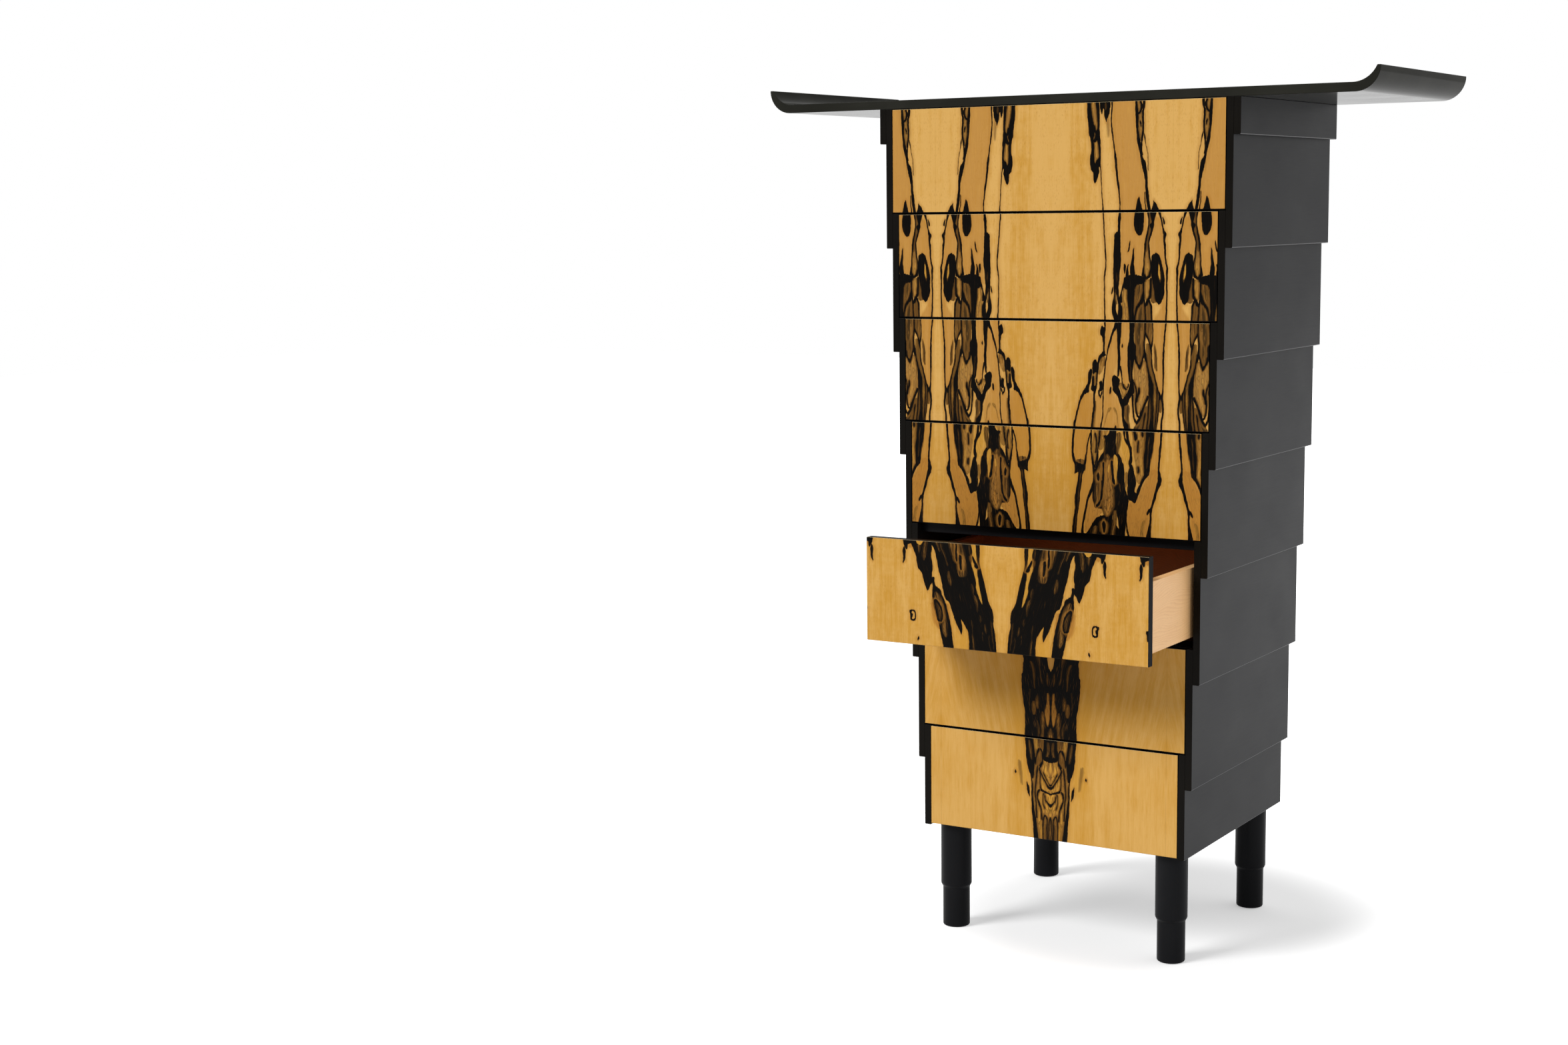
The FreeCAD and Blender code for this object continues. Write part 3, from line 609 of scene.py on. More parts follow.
     ((624, 124, 126), (628, 122.5, 129.5), (642, 122, 131), (660, 123.5, 129), (676, 126, 127.5)),
     ((643, 112, 114.5), (655, 111, 113))),
    (4, "zone",
     ((658, 92, 93.5), (664, 90.5, 94.8), (672, 92, 94)),
     ((672, 99, 103), (682, 99, 101), (700, 97.3, 100), (708, 95.5, 98.5), (719, 89, 93)),
     ((746, 102.5, 105.5), (753, 101.5, 107.5), (760, 102, 106.5), (765, 103, 105)),
     ((640, 101, 104), (655, 101.5, 104), (672, 100.5, 103.5), (690, 99.5, 102), (706, 97.5, 100)),
     ((636, 117, 121), (650, 118, 122), (664, 120, 123), (676, 122, 126))),
    (5, "amber",
     ((772, 146, 182), (785, 178, 188)),
     ((885, 104, 140), (930, 100, 126))),
    (5, "zone",
     ((772, 42, 145), (784, 42.5, 135), (800, 42.5, 129.5), (820, 39.5, 125.5), (840, 33.3, 120),
      (860, 29, 115), (876, 24.5, 110), (881, 22, 104), (890, 17.5, 100), (900, 15, 96), (905, 14.5, 94)),
     ((905, 14.5, 82), (913, 15.5, 76.5), (928, 12.8, 67.5), (934, 12, 65.5), (961, 9, 63.5)),
     ((905, 80, 94), (912, 79.3, 91), (925, 77.7, 86), (935, 79, 80.5)),
     ((772, 138, 178), (788, 138.8, 176.5), (797, 139.8, 172.5), (818, 137.3, 167.5), (826, 138, 164.5),
      (830, 139, 160), (846, 137, 154.5), (850, 140, 153), (861, 146, 147.8)),
     ((772, 176, 197), (778, 178, 196.5), (781, 186, 196), (790, 189.5, 191.5)),
     ((772, 176, 182), (785, 177, 178)),
     ((787, 194.5, 196), (793, 192.5, 197.5), (806, 193, 196.5), (814, 195.5, 197.5)),
     ((838, 133.5, 138), (846, 133, 138), (852, 131, 137), (857, 126, 137)),
     ((855, 129, 135), (858, 122.5, 137), (868, 118.5, 137.3), (882, 111.5, 136.3), (900, 106, 132),
      (920, 101, 124.3), (940, 98, 121), (961, 95.5, 115)),
     ((901, 174, 178), (905, 171.8, 174), (910, 171, 173), (915, 171.5, 173.5), (918.5, 173, 181.5)),
     ((901, 176, 184.5), (904, 180.5, 185), (908, 178, 183.5), (916, 180, 183), (919, 173, 182.5)),
     ((949, 165.5, 167), (952, 165.3, 168.5), (954.5, 167, 168.5))),
    (5, "umber",
     ((772, 45, 48.5), (790, 44.5, 47), (805, 44, 46)),
     ((772, 61.5, 66), (785, 60, 65), (797, 59.5, 62)),
     ((772, 77, 98), (785, 72, 98), (800, 70, 92), (815, 68, 88), (825, 68, 88), (833, 72, 83)),
     ((772, 92, 107), (785, 92.5, 103), (797, 93, 98)),
     ((775, 119, 123), (785, 115, 121), (805, 107.5, 112), (815, 105, 108)),
     ((772, 125, 134), (780, 122.5, 130), (790, 119.5, 125)),
     ((845, 56, 60), (852, 53, 59.5), (865, 53, 56)),
     ((865, 50, 56), (880, 45, 52), (893, 46, 48)),
     ((825, 102, 108), (850, 98, 104)),
     ((882, 60, 62), (892, 59.5, 61)),
     ((865, 81, 83), (875, 80, 82)),
     ((900, 41, 44), (912, 39, 42)),
     ((915, 30, 34), (930, 28, 31)),
     ((930, 36, 38), (945, 35, 37)),
     ((910, 57, 60), (930, 55, 58), (945, 52, 58), (961, 51, 57)),
     ((908, 19, 21), (920, 16.5, 20.5), (950, 13.5, 17), (958, 13, 15)),
     ((935, 22.5, 24.5), (945, 22, 25), (961, 19, 22)),
     ((772, 145.5, 154), (792, 148, 159), (808, 153, 156)),
     ((782, 160, 170), (790, 161.5, 168.5), (797, 164.5, 167)),
     ((864, 127, 134), (870, 121, 134.5), (882, 115.5, 130), (895, 112, 121), (910, 109, 117),
      (918, 106.5, 118), (925, 105, 120), (938, 105, 117), (944, 107, 113))),
    (5, "zone",
     ((878, 129, 134), (884, 123, 133.5), (897, 117.5, 131.5), (908, 116.5, 128), (917, 119, 125)),
     ((795, 79, 84), (808, 78, 83), (820, 78, 81)),
     ((772, 88, 91), (790, 88, 91), (805, 87, 89))),
    (5, "umber",
     ((884, 127, 132), (890, 122.5, 131), (905, 118.5, 127), (915, 120, 123))),
    (5, "gold",
     ((772, 51, 59.5), (790, 49.5, 57.5), (807, 48, 58.5), (822, 48, 54.5), (840, 44, 49.3),
      (850, 42.3, 49), (868, 39, 43.5), (878, 37.5, 38.5)),
     ((772, 156, 171), (776, 158.5, 170), (780, 161.5, 167))),
    (5, "zone",
     ((795, 55.5, 57.5), (802, 52, 56.5), (808, 48, 53.5), (815, 45, 51))),
    (6, "zone",
     ((965, 9, 63), (1003, 7.5, 58), (1012, 6, 55.8), (1030, 1, 57), (1036, -5, 57.5), (1042, -5, 60.5),
      (1057, -5, 59.5), (1096, -5, 55.5), (1115, -5, 52.5), (1158, -5, 53)),
     ((965, 96, 114), (975, 97, 109), (990, 99, 103))),
    (6, "umber",
     ((985, 20, 28), (1003, 20, 29), (1030, 19, 25), (1055, 15, 19)),
     ((1125, 26, 30), (1145, 20.5, 28), (1153, 22, 27)),
     ((1068, 41, 45), (1095, 41.5, 45), (1102, 43, 45)),
     ((970, 40, 46), (990, 38, 42))),
    (6, "heart",
     ((1015, 38, 44), (1025, 33, 40), (1050, 31, 37), (1065, 31, 35)),
     ((1035, 5, 9), (1045, 4.5, 9.5), (1058, 4, 7)),
     ((1078, 25, 29), (1095, 22, 33), (1102, 23, 30)),
     ((1090, 31, 38), (1100, 28.5, 40), (1114, 31, 38)),
     ((1108, 14, 20), (1130, 10, 21), (1146, 12, 20), (1158, 12, 22)),
     ((1136, -5, 1), (1146, -5, 5), (1158, -5, 8))),
    (6, "orange",
     ((1072, 5, 7.5), (1090, 3, 8), (1100, 2.5, 10), (1108, 2.5, 12), (1118, 2.5, 10), (1134, 5, 6))),
    (7, "tan",
     ((1158, -5, 36), (1200, -5, 33), (1240, -5, 37), (1300, -5, 32), (1351, -5, 26))),
    (7, "tan",
     ((1158, -5, 32), (1200, -5, 30), (1240, -5, 33), (1300, -5, 28), (1351, -5, 24))),
    (7, "stain",
     ((1205, 62, 67), (1220, 59, 66), (1235, 57.5, 63), (1250, 57, 60))),
    (7, "bark",
     ((1158, 13.5, 27), (1172, 14, 26), (1180, 17, 23)),
     ((1180, 19, 25), (1195, 16.5, 28), (1210, 19, 29)),
     ((1320, -5, 12), (1351, -5, 12))),
    (7, "zone",
     ((1158, 36, 53), (1175, 34, 51.3), (1195, 31, 49.8), (1205, 31.5, 49), (1215, 34.5, 46.5),
      (1232, 38, 41), (1250, 36, 39.5), (1275, 35, 39), (1293, 33, 38.5), (1310, 30, 36.5), (1351, 24, 34)),
     ((1195, 29.5, 33), (1215, 33, 37), (1235, 35.5, 39)),
     ((1212, 25.5, 27), (1235, 28, 30), (1260, 30, 31.8), (1285, 28.3, 30.3), (1310, 27, 29.5)),
     ((1158, -5, 13.5), (1172, -5, 13.5), (1188, -5, 16), (1194, -5, 15.5), (1199, -5, 13), (1202, -5, 3)),
     ((1203, 15, 16.8), (1211, 18, 20), (1216, 21, 24), (1226, 17, 19.5), (1236, 11.5, 14.3),
      (1246, 5, 8), (1252, -4, 3)),
     ((1222, 13.6, 14.6), (1233, 8.5, 9.8), (1243, 2.5, 4), (1247, -4, 1.5)),
     ((1222, 21, 22.5), (1232, 20.2, 21.3), (1245, 20.8, 22), (1253, 19.5, 22)),
     ((1254, 17.5, 20), (1257, 11, 20.5), (1259.5, 4, 14), (1262, -4, 6)),
     ((1266, 11, 12.3), (1272, 9.3, 11), (1278, 5.8, 8.2), (1283, -4, 4.5), (1286, -4, 1.5)),
     ((1262, 13, 14), (1270, 14, 15), (1280, 13.5, 14.6), (1290, 11, 12)),
     ((1256, 22, 25), (1262, 24, 27), (1270, 25.5, 27.5), (1283, 20.5, 24), (1296, 17.5, 19.3),
      (1312, 16, 18)),
     ((1304, 8.5, 11), (1308, 6, 8.5), (1314, 5, 7), (1330, 6, 8.5), (1351, 5, 7.5)),
     ((1304, 10, 12.5), (1308, 12, 14.5), (1325, 14, 15.8), (1351, 13, 15)),
     ((1306, -4, 0.5), (1318, -4, 3), (1340, -4, 4.5), (1351, -4, 5)),
     ((1178, 18.5, 22), (1183, 16, 18.5), (1198, 15, 17), (1212, 19, 23)),
     ((1178, 22, 25.5), (1190, 27, 29), (1208, 29.5, 31)),
     ((1245, 47.5, 48.8), (1250, 44.5, 48.7), (1262, 42.2, 46.8), (1270, 42, 43)),
     ((1224, 71, 72.5), (1227, 70, 73.5), (1230, 71, 72.5))),
    (7, "umber",
     ((1312, -5, 2), (1325, -5, 4), (1351, -5, 5)),
     ((1165, 2, 8), (1180, 1, 9), (1192, 3, 10)),
     ((1165, 40, 46), (1185, 37, 44), (1200, 36, 41))),
)

# Each drawer's veneer: half width of its leaves and shift of the left half in millimetres, share of deeper
# gold, strength of the flecks, lean of the figure towards the middle, share of brown slivers in the black,
# gain of the black lines in millimetres, and strength of the outer joints
Leaf = namedtuple("Leaf", "half shift warmth flecks lean slivers line_gain joint")
LEAVES = {
    1: Leaf(231.0, 6.0, 0.22, 0.36, 0.0, 0.1, -0.05, 0.08),
    2: Leaf(231.0, 4.0, 0.26, 0.34, 0.0, 0.1, 0.2, 0.08),
    3: Leaf(231.0, 2.5, 0.42, 0.32, 0.03, 0.1, 0.25, 0.08),
    4: Leaf(231.0, 0.5, 0.95, 0.30, 0.16, 0.5, 0.3, 0.08),
    5: Leaf(228.5, 3.0, 0.84, 0.36, 0.33, 0.15, 0.2, 0.08),
    6: Leaf(229.0, 0.0, 0.75, 0.12, 0.20, 1.0, -0.2, 0.2),
    7: Leaf(229.0, 0.0, 0.45, 0.10, 0.03, 0.1, -0.1, 0.2),
}

# Drawer whose plain wood leans with its figure
SLANTED_DRAWER = 6

# Kinds of stroke: softness of the edge in millimetres, share of the wood covered, reach of the streaks at the
# edge in millimetres, and colours, three of them where streaks follow the stroke's own outline
Stroke = namedtuple("Stroke", "soft cover reach tints")
STROKES = {
    "honey": Stroke(3.5, 0.65, 6.0, ("amber", "gold")),
    "amber": Stroke(3.5, 0.92, 6.0, ("amber", "gold")),
    "stain": Stroke(2.5, 0.62, 4.0, ("brown", "umber")),
    "orange": Stroke(1.5, 0.85, 3.0, ("amber", "brown")),
    "gold": Stroke(0.8, 0.95, 1.2, ("gold", "tan")),
    "zone": Stroke(0.45, 1.0, 1.3, ("zone", "brown")),
    "tan": Stroke(1.6, 0.85, 3.0, ("gold", "tan", "brown")),
    "streaked": Stroke(2.0, 0.80, 4.0, ("gold", "tan", "brown")),
    "bark": Stroke(1.2, 0.97, 3.0, ("tan", "umber", "umber")),
    "strand": Stroke(1.2, 0.97, 2.0, ("gold", "umber", "zone")),
    "heart": Stroke(1.8, 0.95, 4.0, ("amber", "tan", "brown")),
    "umber": Stroke(1.8, 0.95, 5.0, ("tan", "umber", "umber")),
}
FILLS = ("tan", "streaked", "bark", "strand", "heart", "umber")
DARK_FILLS = ("bark", "strand", "streaked")
RINGED = ("heart", "umber")
SMOKED = ("tan", "streaked", "bark", "strand")

# Noises of the veneer: size across and down the wood in millimetres, seed and detail. The last three are sized
# across by shares of a stroke's own width.
GRAIN = {
    "waver": (9.0, 22.0, 1.0, 2.0),
    "quiver": (2.2, 7.0, 2.0, 2.0),
    "drift": (30.0, 60.0, 3.0, 2.0),
    "feather": (3.0, 30.0, 4.0, 2.0),
    "fibre": (1.8, 32.0, 5.0, 3.0),
    "streak": (9.0, 160.0, 6.0, 1.0),
    "cloud": (34.0, 80.0, 7.0, 2.0),
    "curl": (16.0, 8.0, 8.0, 2.0),
    "fleck": (1.5, 6.0, 9.0, 1.0),
    "vein": (2.3, 70.0, 10.0, 3.0),
    "thread": (0.9, 34.0, 11.0, 2.0),
    "sliver": (1.6, 26.0, 12.0, 2.0),
    "cluster": (18.0, 60.0, 13.0, 2.0),
    "mottle": (12.0, 18.0, 15.0, 3.0),
    "line": (13.0, 60.0, 16.0, 3.0),
    "fill_vein": (1 / 5.0, 48.0, 10.0, 3.0),
    "strand_vein": (1 / 10.0, 96.0, 10.0, 3.0),
    "fill_thread": (1 / 13.0, 26.0, 14.0, 2.0),
}

# Levels of a noise between which each mark comes to show
LEVELS = {
    "warm": (-0.25, 1.25),
    "cluster": (0.36, 0.62),
    "fleck": (0.54, 0.72),
    "sliver": (0.60, 0.72),
    "thread": (0.52, 0.64),
    "halo_vein": (0.55, 0.70),
    "black_vein": (0.58, 0.82),
    "line": (0.05, 0.17),
    "fill": (0.38, 0.62),
    "dark_fill": (0.46, 0.72),
    "fill_thread": (0.50, 0.62),
    "ring": (0.45, 0.9),
}

# How far each noise warms the plain wood, those that go with the flecks, and a warmer band beside the middle
WARMING = {"cloud": 1.1, "streak": 1.3, "mottle": 2.6, "fibre": 1.3, "curl": 1.2}
FLECKED = ("mottle", "curl")
BAND_MM = ((18.0, 50.0), (70.0, 100.0))
BAND_WARMTH = 0.5

# How far the strokes' outlines waver across the wood and feather along it, in millimetres
WAVER_MM = {"waver": 3.2, "quiver": 1.3, "drift": 2.0}
FEATHER_MM = 5.0

# Height of a drawer, span of the curves and room beyond the middle, and how strokes taper off, in millimetres
PITCH_MM = 193.0
SPAN_MM = 250.0
EDGE_ROOM_MM = 10.0
TAPER_MM = 1.6
FADE_MM = 14.0

# Round the black: reach in millimetres and strength of its warm halo, its smoke and its brown fringe
HALO_MM = 8.0
HALO = 0.42
HALO_VEINS = 0.50
SMOKE_MM = 4.2
SMOKE_START_MM = 0.5
SMOKE = 0.85
FRINGE_MM = 0.9
FRINGE_START_MM = 0.2
FRINGE = 0.7

# Inside the strokes: strength of veins and slivers in the black, of threads, wandering lines, rings and rims
BLACK_VEINS = 0.20
SLIVER_DEPTH_MM = (0.8, 3.0)
FILL_THREADS = 0.5
FILL_LINES = 0.6
PLAIN_VEINS = 0.4
PLAIN_LINES = {"honey": 0.0, "amber": 0.20, "stain": 0.0, "orange": 0.35, "gold": 0.15}
LINE_COUNT = 9.0
RING_MM = 5.0
RINGS = 0.30
RIM_START_MM = -0.5
RIM_MM = 6.0
RIM = 0.5
SMOKED_EDGE_MM = 1.0

# Joint of the outer leaves in millimetres, and the lacquer's play of roughness and relief
JOINT_MM = (0.9, 0.2)
VENEER_SHEEN = 0.12
VENEER_RELIEF = (0.06, 0.0004)


def stroke_curves(rows, top, taper):
    """The left and right edges of a stroke, closed to a point where it ends inside the drawer."""
    rows = list(rows)
    for end, way, limit in ((0, -1, top), (-1, 1, top + PITCH_MM)):
        depth, left, right = rows[end]
        if abs(limit - depth) > 2 * FRINGE_MM + TAPER_MM * (way + 1):
            middle = (left + right) / 2
            point = (depth + way * taper, middle + taper / 3, middle - taper / 3)
            gone = (depth + way * (taper + FADE_MM), middle + FADE_MM, middle - FADE_MM)
            rows = [gone, point] + rows if way < 0 else rows + [point, gone]
    return [[((row[0] - top) / PITCH_MM, (row[edge] + EDGE_ROOM_MM) / SPAN_MM) for row in rows]
            for edge in (1, 2)]


def sapwood(wood, x, fold, slant, down, leaf, look):
    """Plain golden veneer with soft upright streaks, faint curl and clusters of short flecks."""
    across = {"cloud": fold, "streak": slant, "mottle": fold, "fibre": slant, "curl": x}
    noises = {name: wood.grain(name, across[name], down) for name in WARMING}
    warm = leaf.warmth
    for name, amount in WARMING.items():
        warm = warm + noises[name].sway(amount * leaf.flecks if name in FLECKED else amount)
    band = fold.step(*BAND_MM[0]) - fold.step(*BAND_MM[1])
    warm = warm + band.sway(BAND_WARMTH)
    tone = wood.mix(warm.shows("warm"), look.pale, look.gold)
    cluster = wood.grain("cluster", fold, down).shows("cluster")
    fleck = wood.grain("fleck", fold, down).shows("fleck") * cluster * leaf.flecks
    return wood.mix(fleck, tone, look.amber), noises["fibre"] + noises["streak"]


def fill_tint(wood, kind, inside, flow, down, look):
    """The colour inside a stroke: streaks along its own outline, and rings in the black's hearts."""
    light, dark, threads = [getattr(look, tint) for tint in STROKES[kind].tints]
    vein = wood.grain("strand_vein" if kind == "strand" else "fill_vein", flow, down)
    thread = wood.grain("fill_thread", flow, down).shows("fill_thread")
    tint = wood.mix(vein.shows("dark_fill" if kind in DARK_FILLS else "fill"), dark, light)
    tint = wood.mix(thread * FILL_THREADS, tint, threads)
    if kind in RINGED:
        ring = (inside / RING_MM).fraction()
        tint = wood.mix(ring.shows("ring") * RINGS, tint, look.umber)
        rim = inside.step(RIM_START_MM, RIM_MM if kind == "umber" else HALO_MM)
        return wood.mix(rim, look.zone, tint)
    return wood.mix((1.0 - inside.step(0.0, RIM_MM)) * RIM, tint, look.umber)


def spalt_lines(wood, slant, down):
    """Thin wandering lines, as the height lines of a slow noise."""
    height = (wood.grain("line", slant, down) * LINE_COUNT).fraction()
    return 1.0 - abs(height - 0.5).shows("line")


def laid_stroke(wood, kind, inside, flow, tone, spalted, streaks, down, look):
    """The wood's colour with one kind of stroke laid on it, by the depth inside its strokes."""
    soft, cover, _, tints = STROKES[kind]
    plain, veined = [getattr(look, name) for name in tints[:2]]
    vein, threads, sliver, lines = streaks
    if kind == "zone":
        halo = inside.step(-HALO_MM, 0.0)
        tone = wood.mix(halo * HALO, tone, look.amber)
        tone = wood.mix(halo * vein.shows("halo_vein") * HALO_VEINS, tone, look.tan)
        tone = wood.mix(inside.step(-SMOKE_MM, SMOKE_START_MM) * spalted * SMOKE, tone, look.umber)
        tone = wood.mix(inside.step(-FRINGE_MM, FRINGE_START_MM) * FRINGE, tone, look.brown)
        tint = wood.mix(vein.shows("black_vein") * BLACK_VEINS, plain, veined)
        tint = wood.mix(sliver * inside.step(*SLIVER_DEPTH_MM), tint, veined)
    elif kind in FILLS:
        tint = fill_tint(wood, kind, inside, flow, down, look)
        tint = wood.mix(lines * FILL_LINES, tint, look.umber)
    else:
        tint = wood.mix(threads * PLAIN_VEINS, plain, veined)
        tint = wood.mix(lines * PLAIN_LINES[kind], tint, look.brown)
    return wood.mix(inside.step(-soft, soft) * cover, tone, tint)


def stroke_depths(wood, kind, strokes, across, along, top):
    """Depth inside the nearest of the strokes and, for a fill, the share of the way across that one."""
    inside = flow = None
    for rows in strokes:
        left, right = [wood.node("ShaderNodeFloatCurve", {"points": points}, {"Value": along})
                       for points in stroke_curves(rows, top, max(TAPER_MM, STROKES[kind].soft))]
        depth = (across - left).least(right - across)
        if kind in FILLS:
            way = (across - left) / (right - left)
            flow = way if flow is None else flow + (way - flow) * (depth > inside)
        inside = depth if inside is None else inside.most(depth)
    return inside * SPAN_MM, flow


def veneer_finish(n, look):
    """Book-matched spalted veneer of one drawer front, under clear satin lacquer."""
    wood = new_finish(f"spalted_veneer_{n}")
    leaf = LEAVES[n]
    x, _, z = wood.millimetres()
    down = CASE_TOP * MM - z
    top = PITCH_MM * (n - 1)
    fold = leaf.half - abs(leaf.half + leaf.shift / 2 - abs(x + leaf.shift / 2))
    slant = fold + (down - top) * leaf.lean
    places = {"waver": fold, "quiver": fold, "drift": x}
    waver = sum(wood.grain(name, places[name], down).sway(WAVER_MM[name]) for name in WAVER_MM)
    feather = wood.grain("feather", slant, down).sway(FEATHER_MM)
    across = (fold + waver + EDGE_ROOM_MM) / SPAN_MM
    along = (down + feather - top) / PITCH_MM

    tone, relief = sapwood(wood, x, fold, slant if n == SLANTED_DRAWER else fold, down, leaf, look)
    vein, thread, sliver = [wood.grain(name, slant, down) for name in ("vein", "thread", "sliver")]
    streaks = (vein, thread.shows("thread"), sliver.shows("sliver") * leaf.slivers,
               spalt_lines(wood, slant, down))
    spalted = 0.0
    for drawer, kind, *strokes in FIGURE:
        if drawer != n:
            continue
        inside, flow = stroke_depths(wood, kind, strokes, across, along, top)
        inside = inside + thread.sway(STROKES[kind].reach)
        if kind == "zone":
            inside = inside + leaf.line_gain
        tone = laid_stroke(wood, kind, inside, flow, tone, spalted, streaks, down, look)
        if kind in SMOKED:
            spalted = inside.step(-SMOKED_EDGE_MM, SMOKED_EDGE_MM).most(spalted)

    joint = fold.step(*[leaf.half - edge for edge in JOINT_MM]) * leaf.joint
    tone = wood.mix(joint, tone, look.tan)
    return wood.surface(base_color=tone, roughness=look.roughness + vein.sway(VENEER_SHEEN),
                        specular_ior_level=look.gloss, normal=wood.bump(relief, *VENEER_RELIEF))


# Other finishes. Each noise has its size across and along the grain in millimetres, and its detail. Tone,
# sheen and height say how far it changes the colour, the roughness and the relief.

LACQUER_GRAIN = (1.1, 60.0, 3.0)
LACQUER_PEEL = (2.4, 2.4, 2.0)
LACQUER_CLOUD = (90.0, 140.0, 3.0)
CLOUD_SPAN = (0.3, 0.75)
CLOUD_TONE = 0.6
CLOUD_SHEEN = 0.14
GRAIN_TONE = 0.5
GRAIN_SHEEN = 0.08
GRAIN_HEIGHT = 0.6
PEEL_HEIGHT = 0.4
RUBBED_GAIN = 1.7
LACQUER_RELIEF = (0.05, 0.0003)

BOARD_WANDER = (60.0, 260.0, 2.0)
BOARD_PORES = (0.5, 9.0, 2.0)
BOARD_FLECK = (14.0, 70.0, 2.0)
WANDER_MM = 60.0
RING_SLANT = 0.35
RING_WIDTH_MM = 4.2
LATE_WOOD = (0.35, 0.95, 1.0)
LATE_TONE = 0.32
LATE_HEIGHT = 0.5
PORE_SPAN = (0.58, 0.72)
PORE_TONE = 0.35
PORE_HEIGHT = -0.5
PORE_SHADE = 0.72
FLECK_TONE = 0.5
FLECK_SHEEN = 0.1
BOARD_RELIEF = (0.08, 0.0003)
INSIDE_GRAIN_SHADE = 0.6

STEEL_ROLLED = (0.35, 40.0, 3.0)
STEEL_SPANGLE = (6.0, 6.0, 2.0)
ROLLED_SHEEN = 0.12
SPANGLE_TONE = 1.2
SPANGLE_LEVEL = 0.4
SPANGLE_SHEEN = 0.25
STEEL_SHADE = 0.62
STEEL_RELIEF = (0.04, 0.0002)


def shaded(tone, gain):
    """A colour made lighter or darker by a factor."""
    return [min(1.0, part * gain) for part in tone]


def lacquer_finish(name, tone, roughness, gloss, grain_axis):
    """Satin lacquer over close-grained wood, a little uneven, with the grain just telling."""
    lacquer = new_finish(name)
    sides = lacquer.millimetres()
    along = sides.pop(grain_axis)
    grain, peel, cloud = [lacquer.drawn_out(along, sides, sizes)
                          for sizes in (LACQUER_GRAIN, LACQUER_PEEL, LACQUER_CLOUD)]
    uneven = cloud.step(*CLOUD_SPAN) * CLOUD_TONE + grain.sway(GRAIN_TONE)
    shade = lacquer.mix(uneven, tone, shaded(tone, RUBBED_GAIN))
    rough = roughness + cloud.sway(CLOUD_SHEEN) + grain.sway(GRAIN_SHEEN)
    relief = lacquer.bump(grain * GRAIN_HEIGHT + peel * PEEL_HEIGHT, *LACQUER_RELIEF)
    return lacquer.surface(base_color=shade, roughness=rough, specular_ior_level=gloss, normal=relief)


def board_wood_finish(name, wood_tone, grain_tone, roughness):
    """Plain-sawn hardwood with its grain along the drawer, as growth rings cut at a slant."""
    wood = new_finish(name)
    x, y, z = wood.millimetres()
    wander = wood.drawn_out(y, (x, z), BOARD_WANDER)
    wave = ((z + x * RING_SLANT + wander * WANDER_MM) / RING_WIDTH_MM).fraction()
    late = wave.step(*LATE_WOOD[:2]) - wave.step(*LATE_WOOD[1:])
    pores = wood.drawn_out(y, (z, x), BOARD_PORES).step(*PORE_SPAN)
    fleck = wood.drawn_out(y, (z, x), BOARD_FLECK)
    tone = wood.mix(late * LATE_TONE + fleck.sway(FLECK_TONE), wood_tone, grain_tone)
    tone = wood.mix(pores * PORE_TONE, tone, shaded(grain_tone, PORE_SHADE))
    relief = wood.bump(late * LATE_HEIGHT + pores * PORE_HEIGHT, *BOARD_RELIEF)
    return wood.surface(base_color=tone, roughness=roughness + fleck.sway(FLECK_SHEEN), normal=relief)


def steel_finish(name, tone, roughness, grain_axis):
    """Zinc-plated steel with rolling marks along its length."""
    steel = new_finish(name)
    sides = steel.millimetres()
    along = sides.pop(grain_axis)
    rolled = steel.drawn_out(along, sides, STEEL_ROLLED)
    spangle = steel.drawn_out(along, sides, STEEL_SPANGLE)
    shade = steel.mix(spangle.sway(SPANGLE_TONE) + SPANGLE_LEVEL, tone, shaded(tone, STEEL_SHADE))
    rough = roughness + spangle.sway(SPANGLE_SHEEN) + rolled.sway(ROLLED_SHEEN)
    return steel.surface(base_color=shade, metallic=1.0, roughness=rough,
                         normal=steel.bump(rolled, *STEEL_RELIEF))


# Meshes

def finished_piece(name, bm, materials, body, slot, *nodes):
    """Turns the bmesh into a piece that rides on a body and stands for its nodes."""
    for face in bm.faces:
        face.smooth = True
    for edge in bm.edges:
        edge.smooth = edge.is_manifold and edge.calc_face_angle() < SOFT_BELOW
    mesh = bpy.data.meshes.new(name)
    bm.to_mesh(mesh)
    bm.free()
    for material in materials:
        mesh.materials.append(material)
    piece = bpy.data.objects.new(name, mesh)
    bpy.context.scene.collection.objects.link(piece)
    level = piece.modifiers.new("flat_faces", "WEIGHTED_NORMAL")
    level.keep_sharp = True
    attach(piece, body)
    if nodes:
        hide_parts(*nodes)


def bevel(bm, edges, width):
    bmesh.ops.bevel(bm, geom=edges, offset=width, offset_type="OFFSET", segments=EASE_SEGMENTS,
                    profile=0.5, affect="EDGES", material=-1, clamp_overlap=True)


def bevel_sharp(bm, width):
    bevel(bm, [edge for edge in bm.edges
               if edge.is_manifold and edge.calc_face_angle() > SHARP_ABOVE], width)


def eased_copy(node, width):
    """A copy of a board from the frame, whose square edges are softly rounded."""
    bm = bmesh.new()
    bm.from_mesh(bpy.data.objects[node].data)
    bmesh.ops.remove_doubles(bm, verts=bm.verts, dist=WELD)
    bmesh.ops.dissolve_limit(bm, angle_limit=FLAT_WITHIN, verts=bm.verts, edges=bm.edges)
    bevel_sharp(bm, width)
    return bm


def board_box(low, high):
    """A square-edged board between two corners."""
    bm = bmesh.new()
    bmesh.ops.create_cube(bm, size=1.0)
    bmesh.ops.scale(bm, vec=high - low, verts=bm.verts)
    bmesh.ops.translate(bm, vec=(low + high) / 2, verts=bm.verts)
    return bm


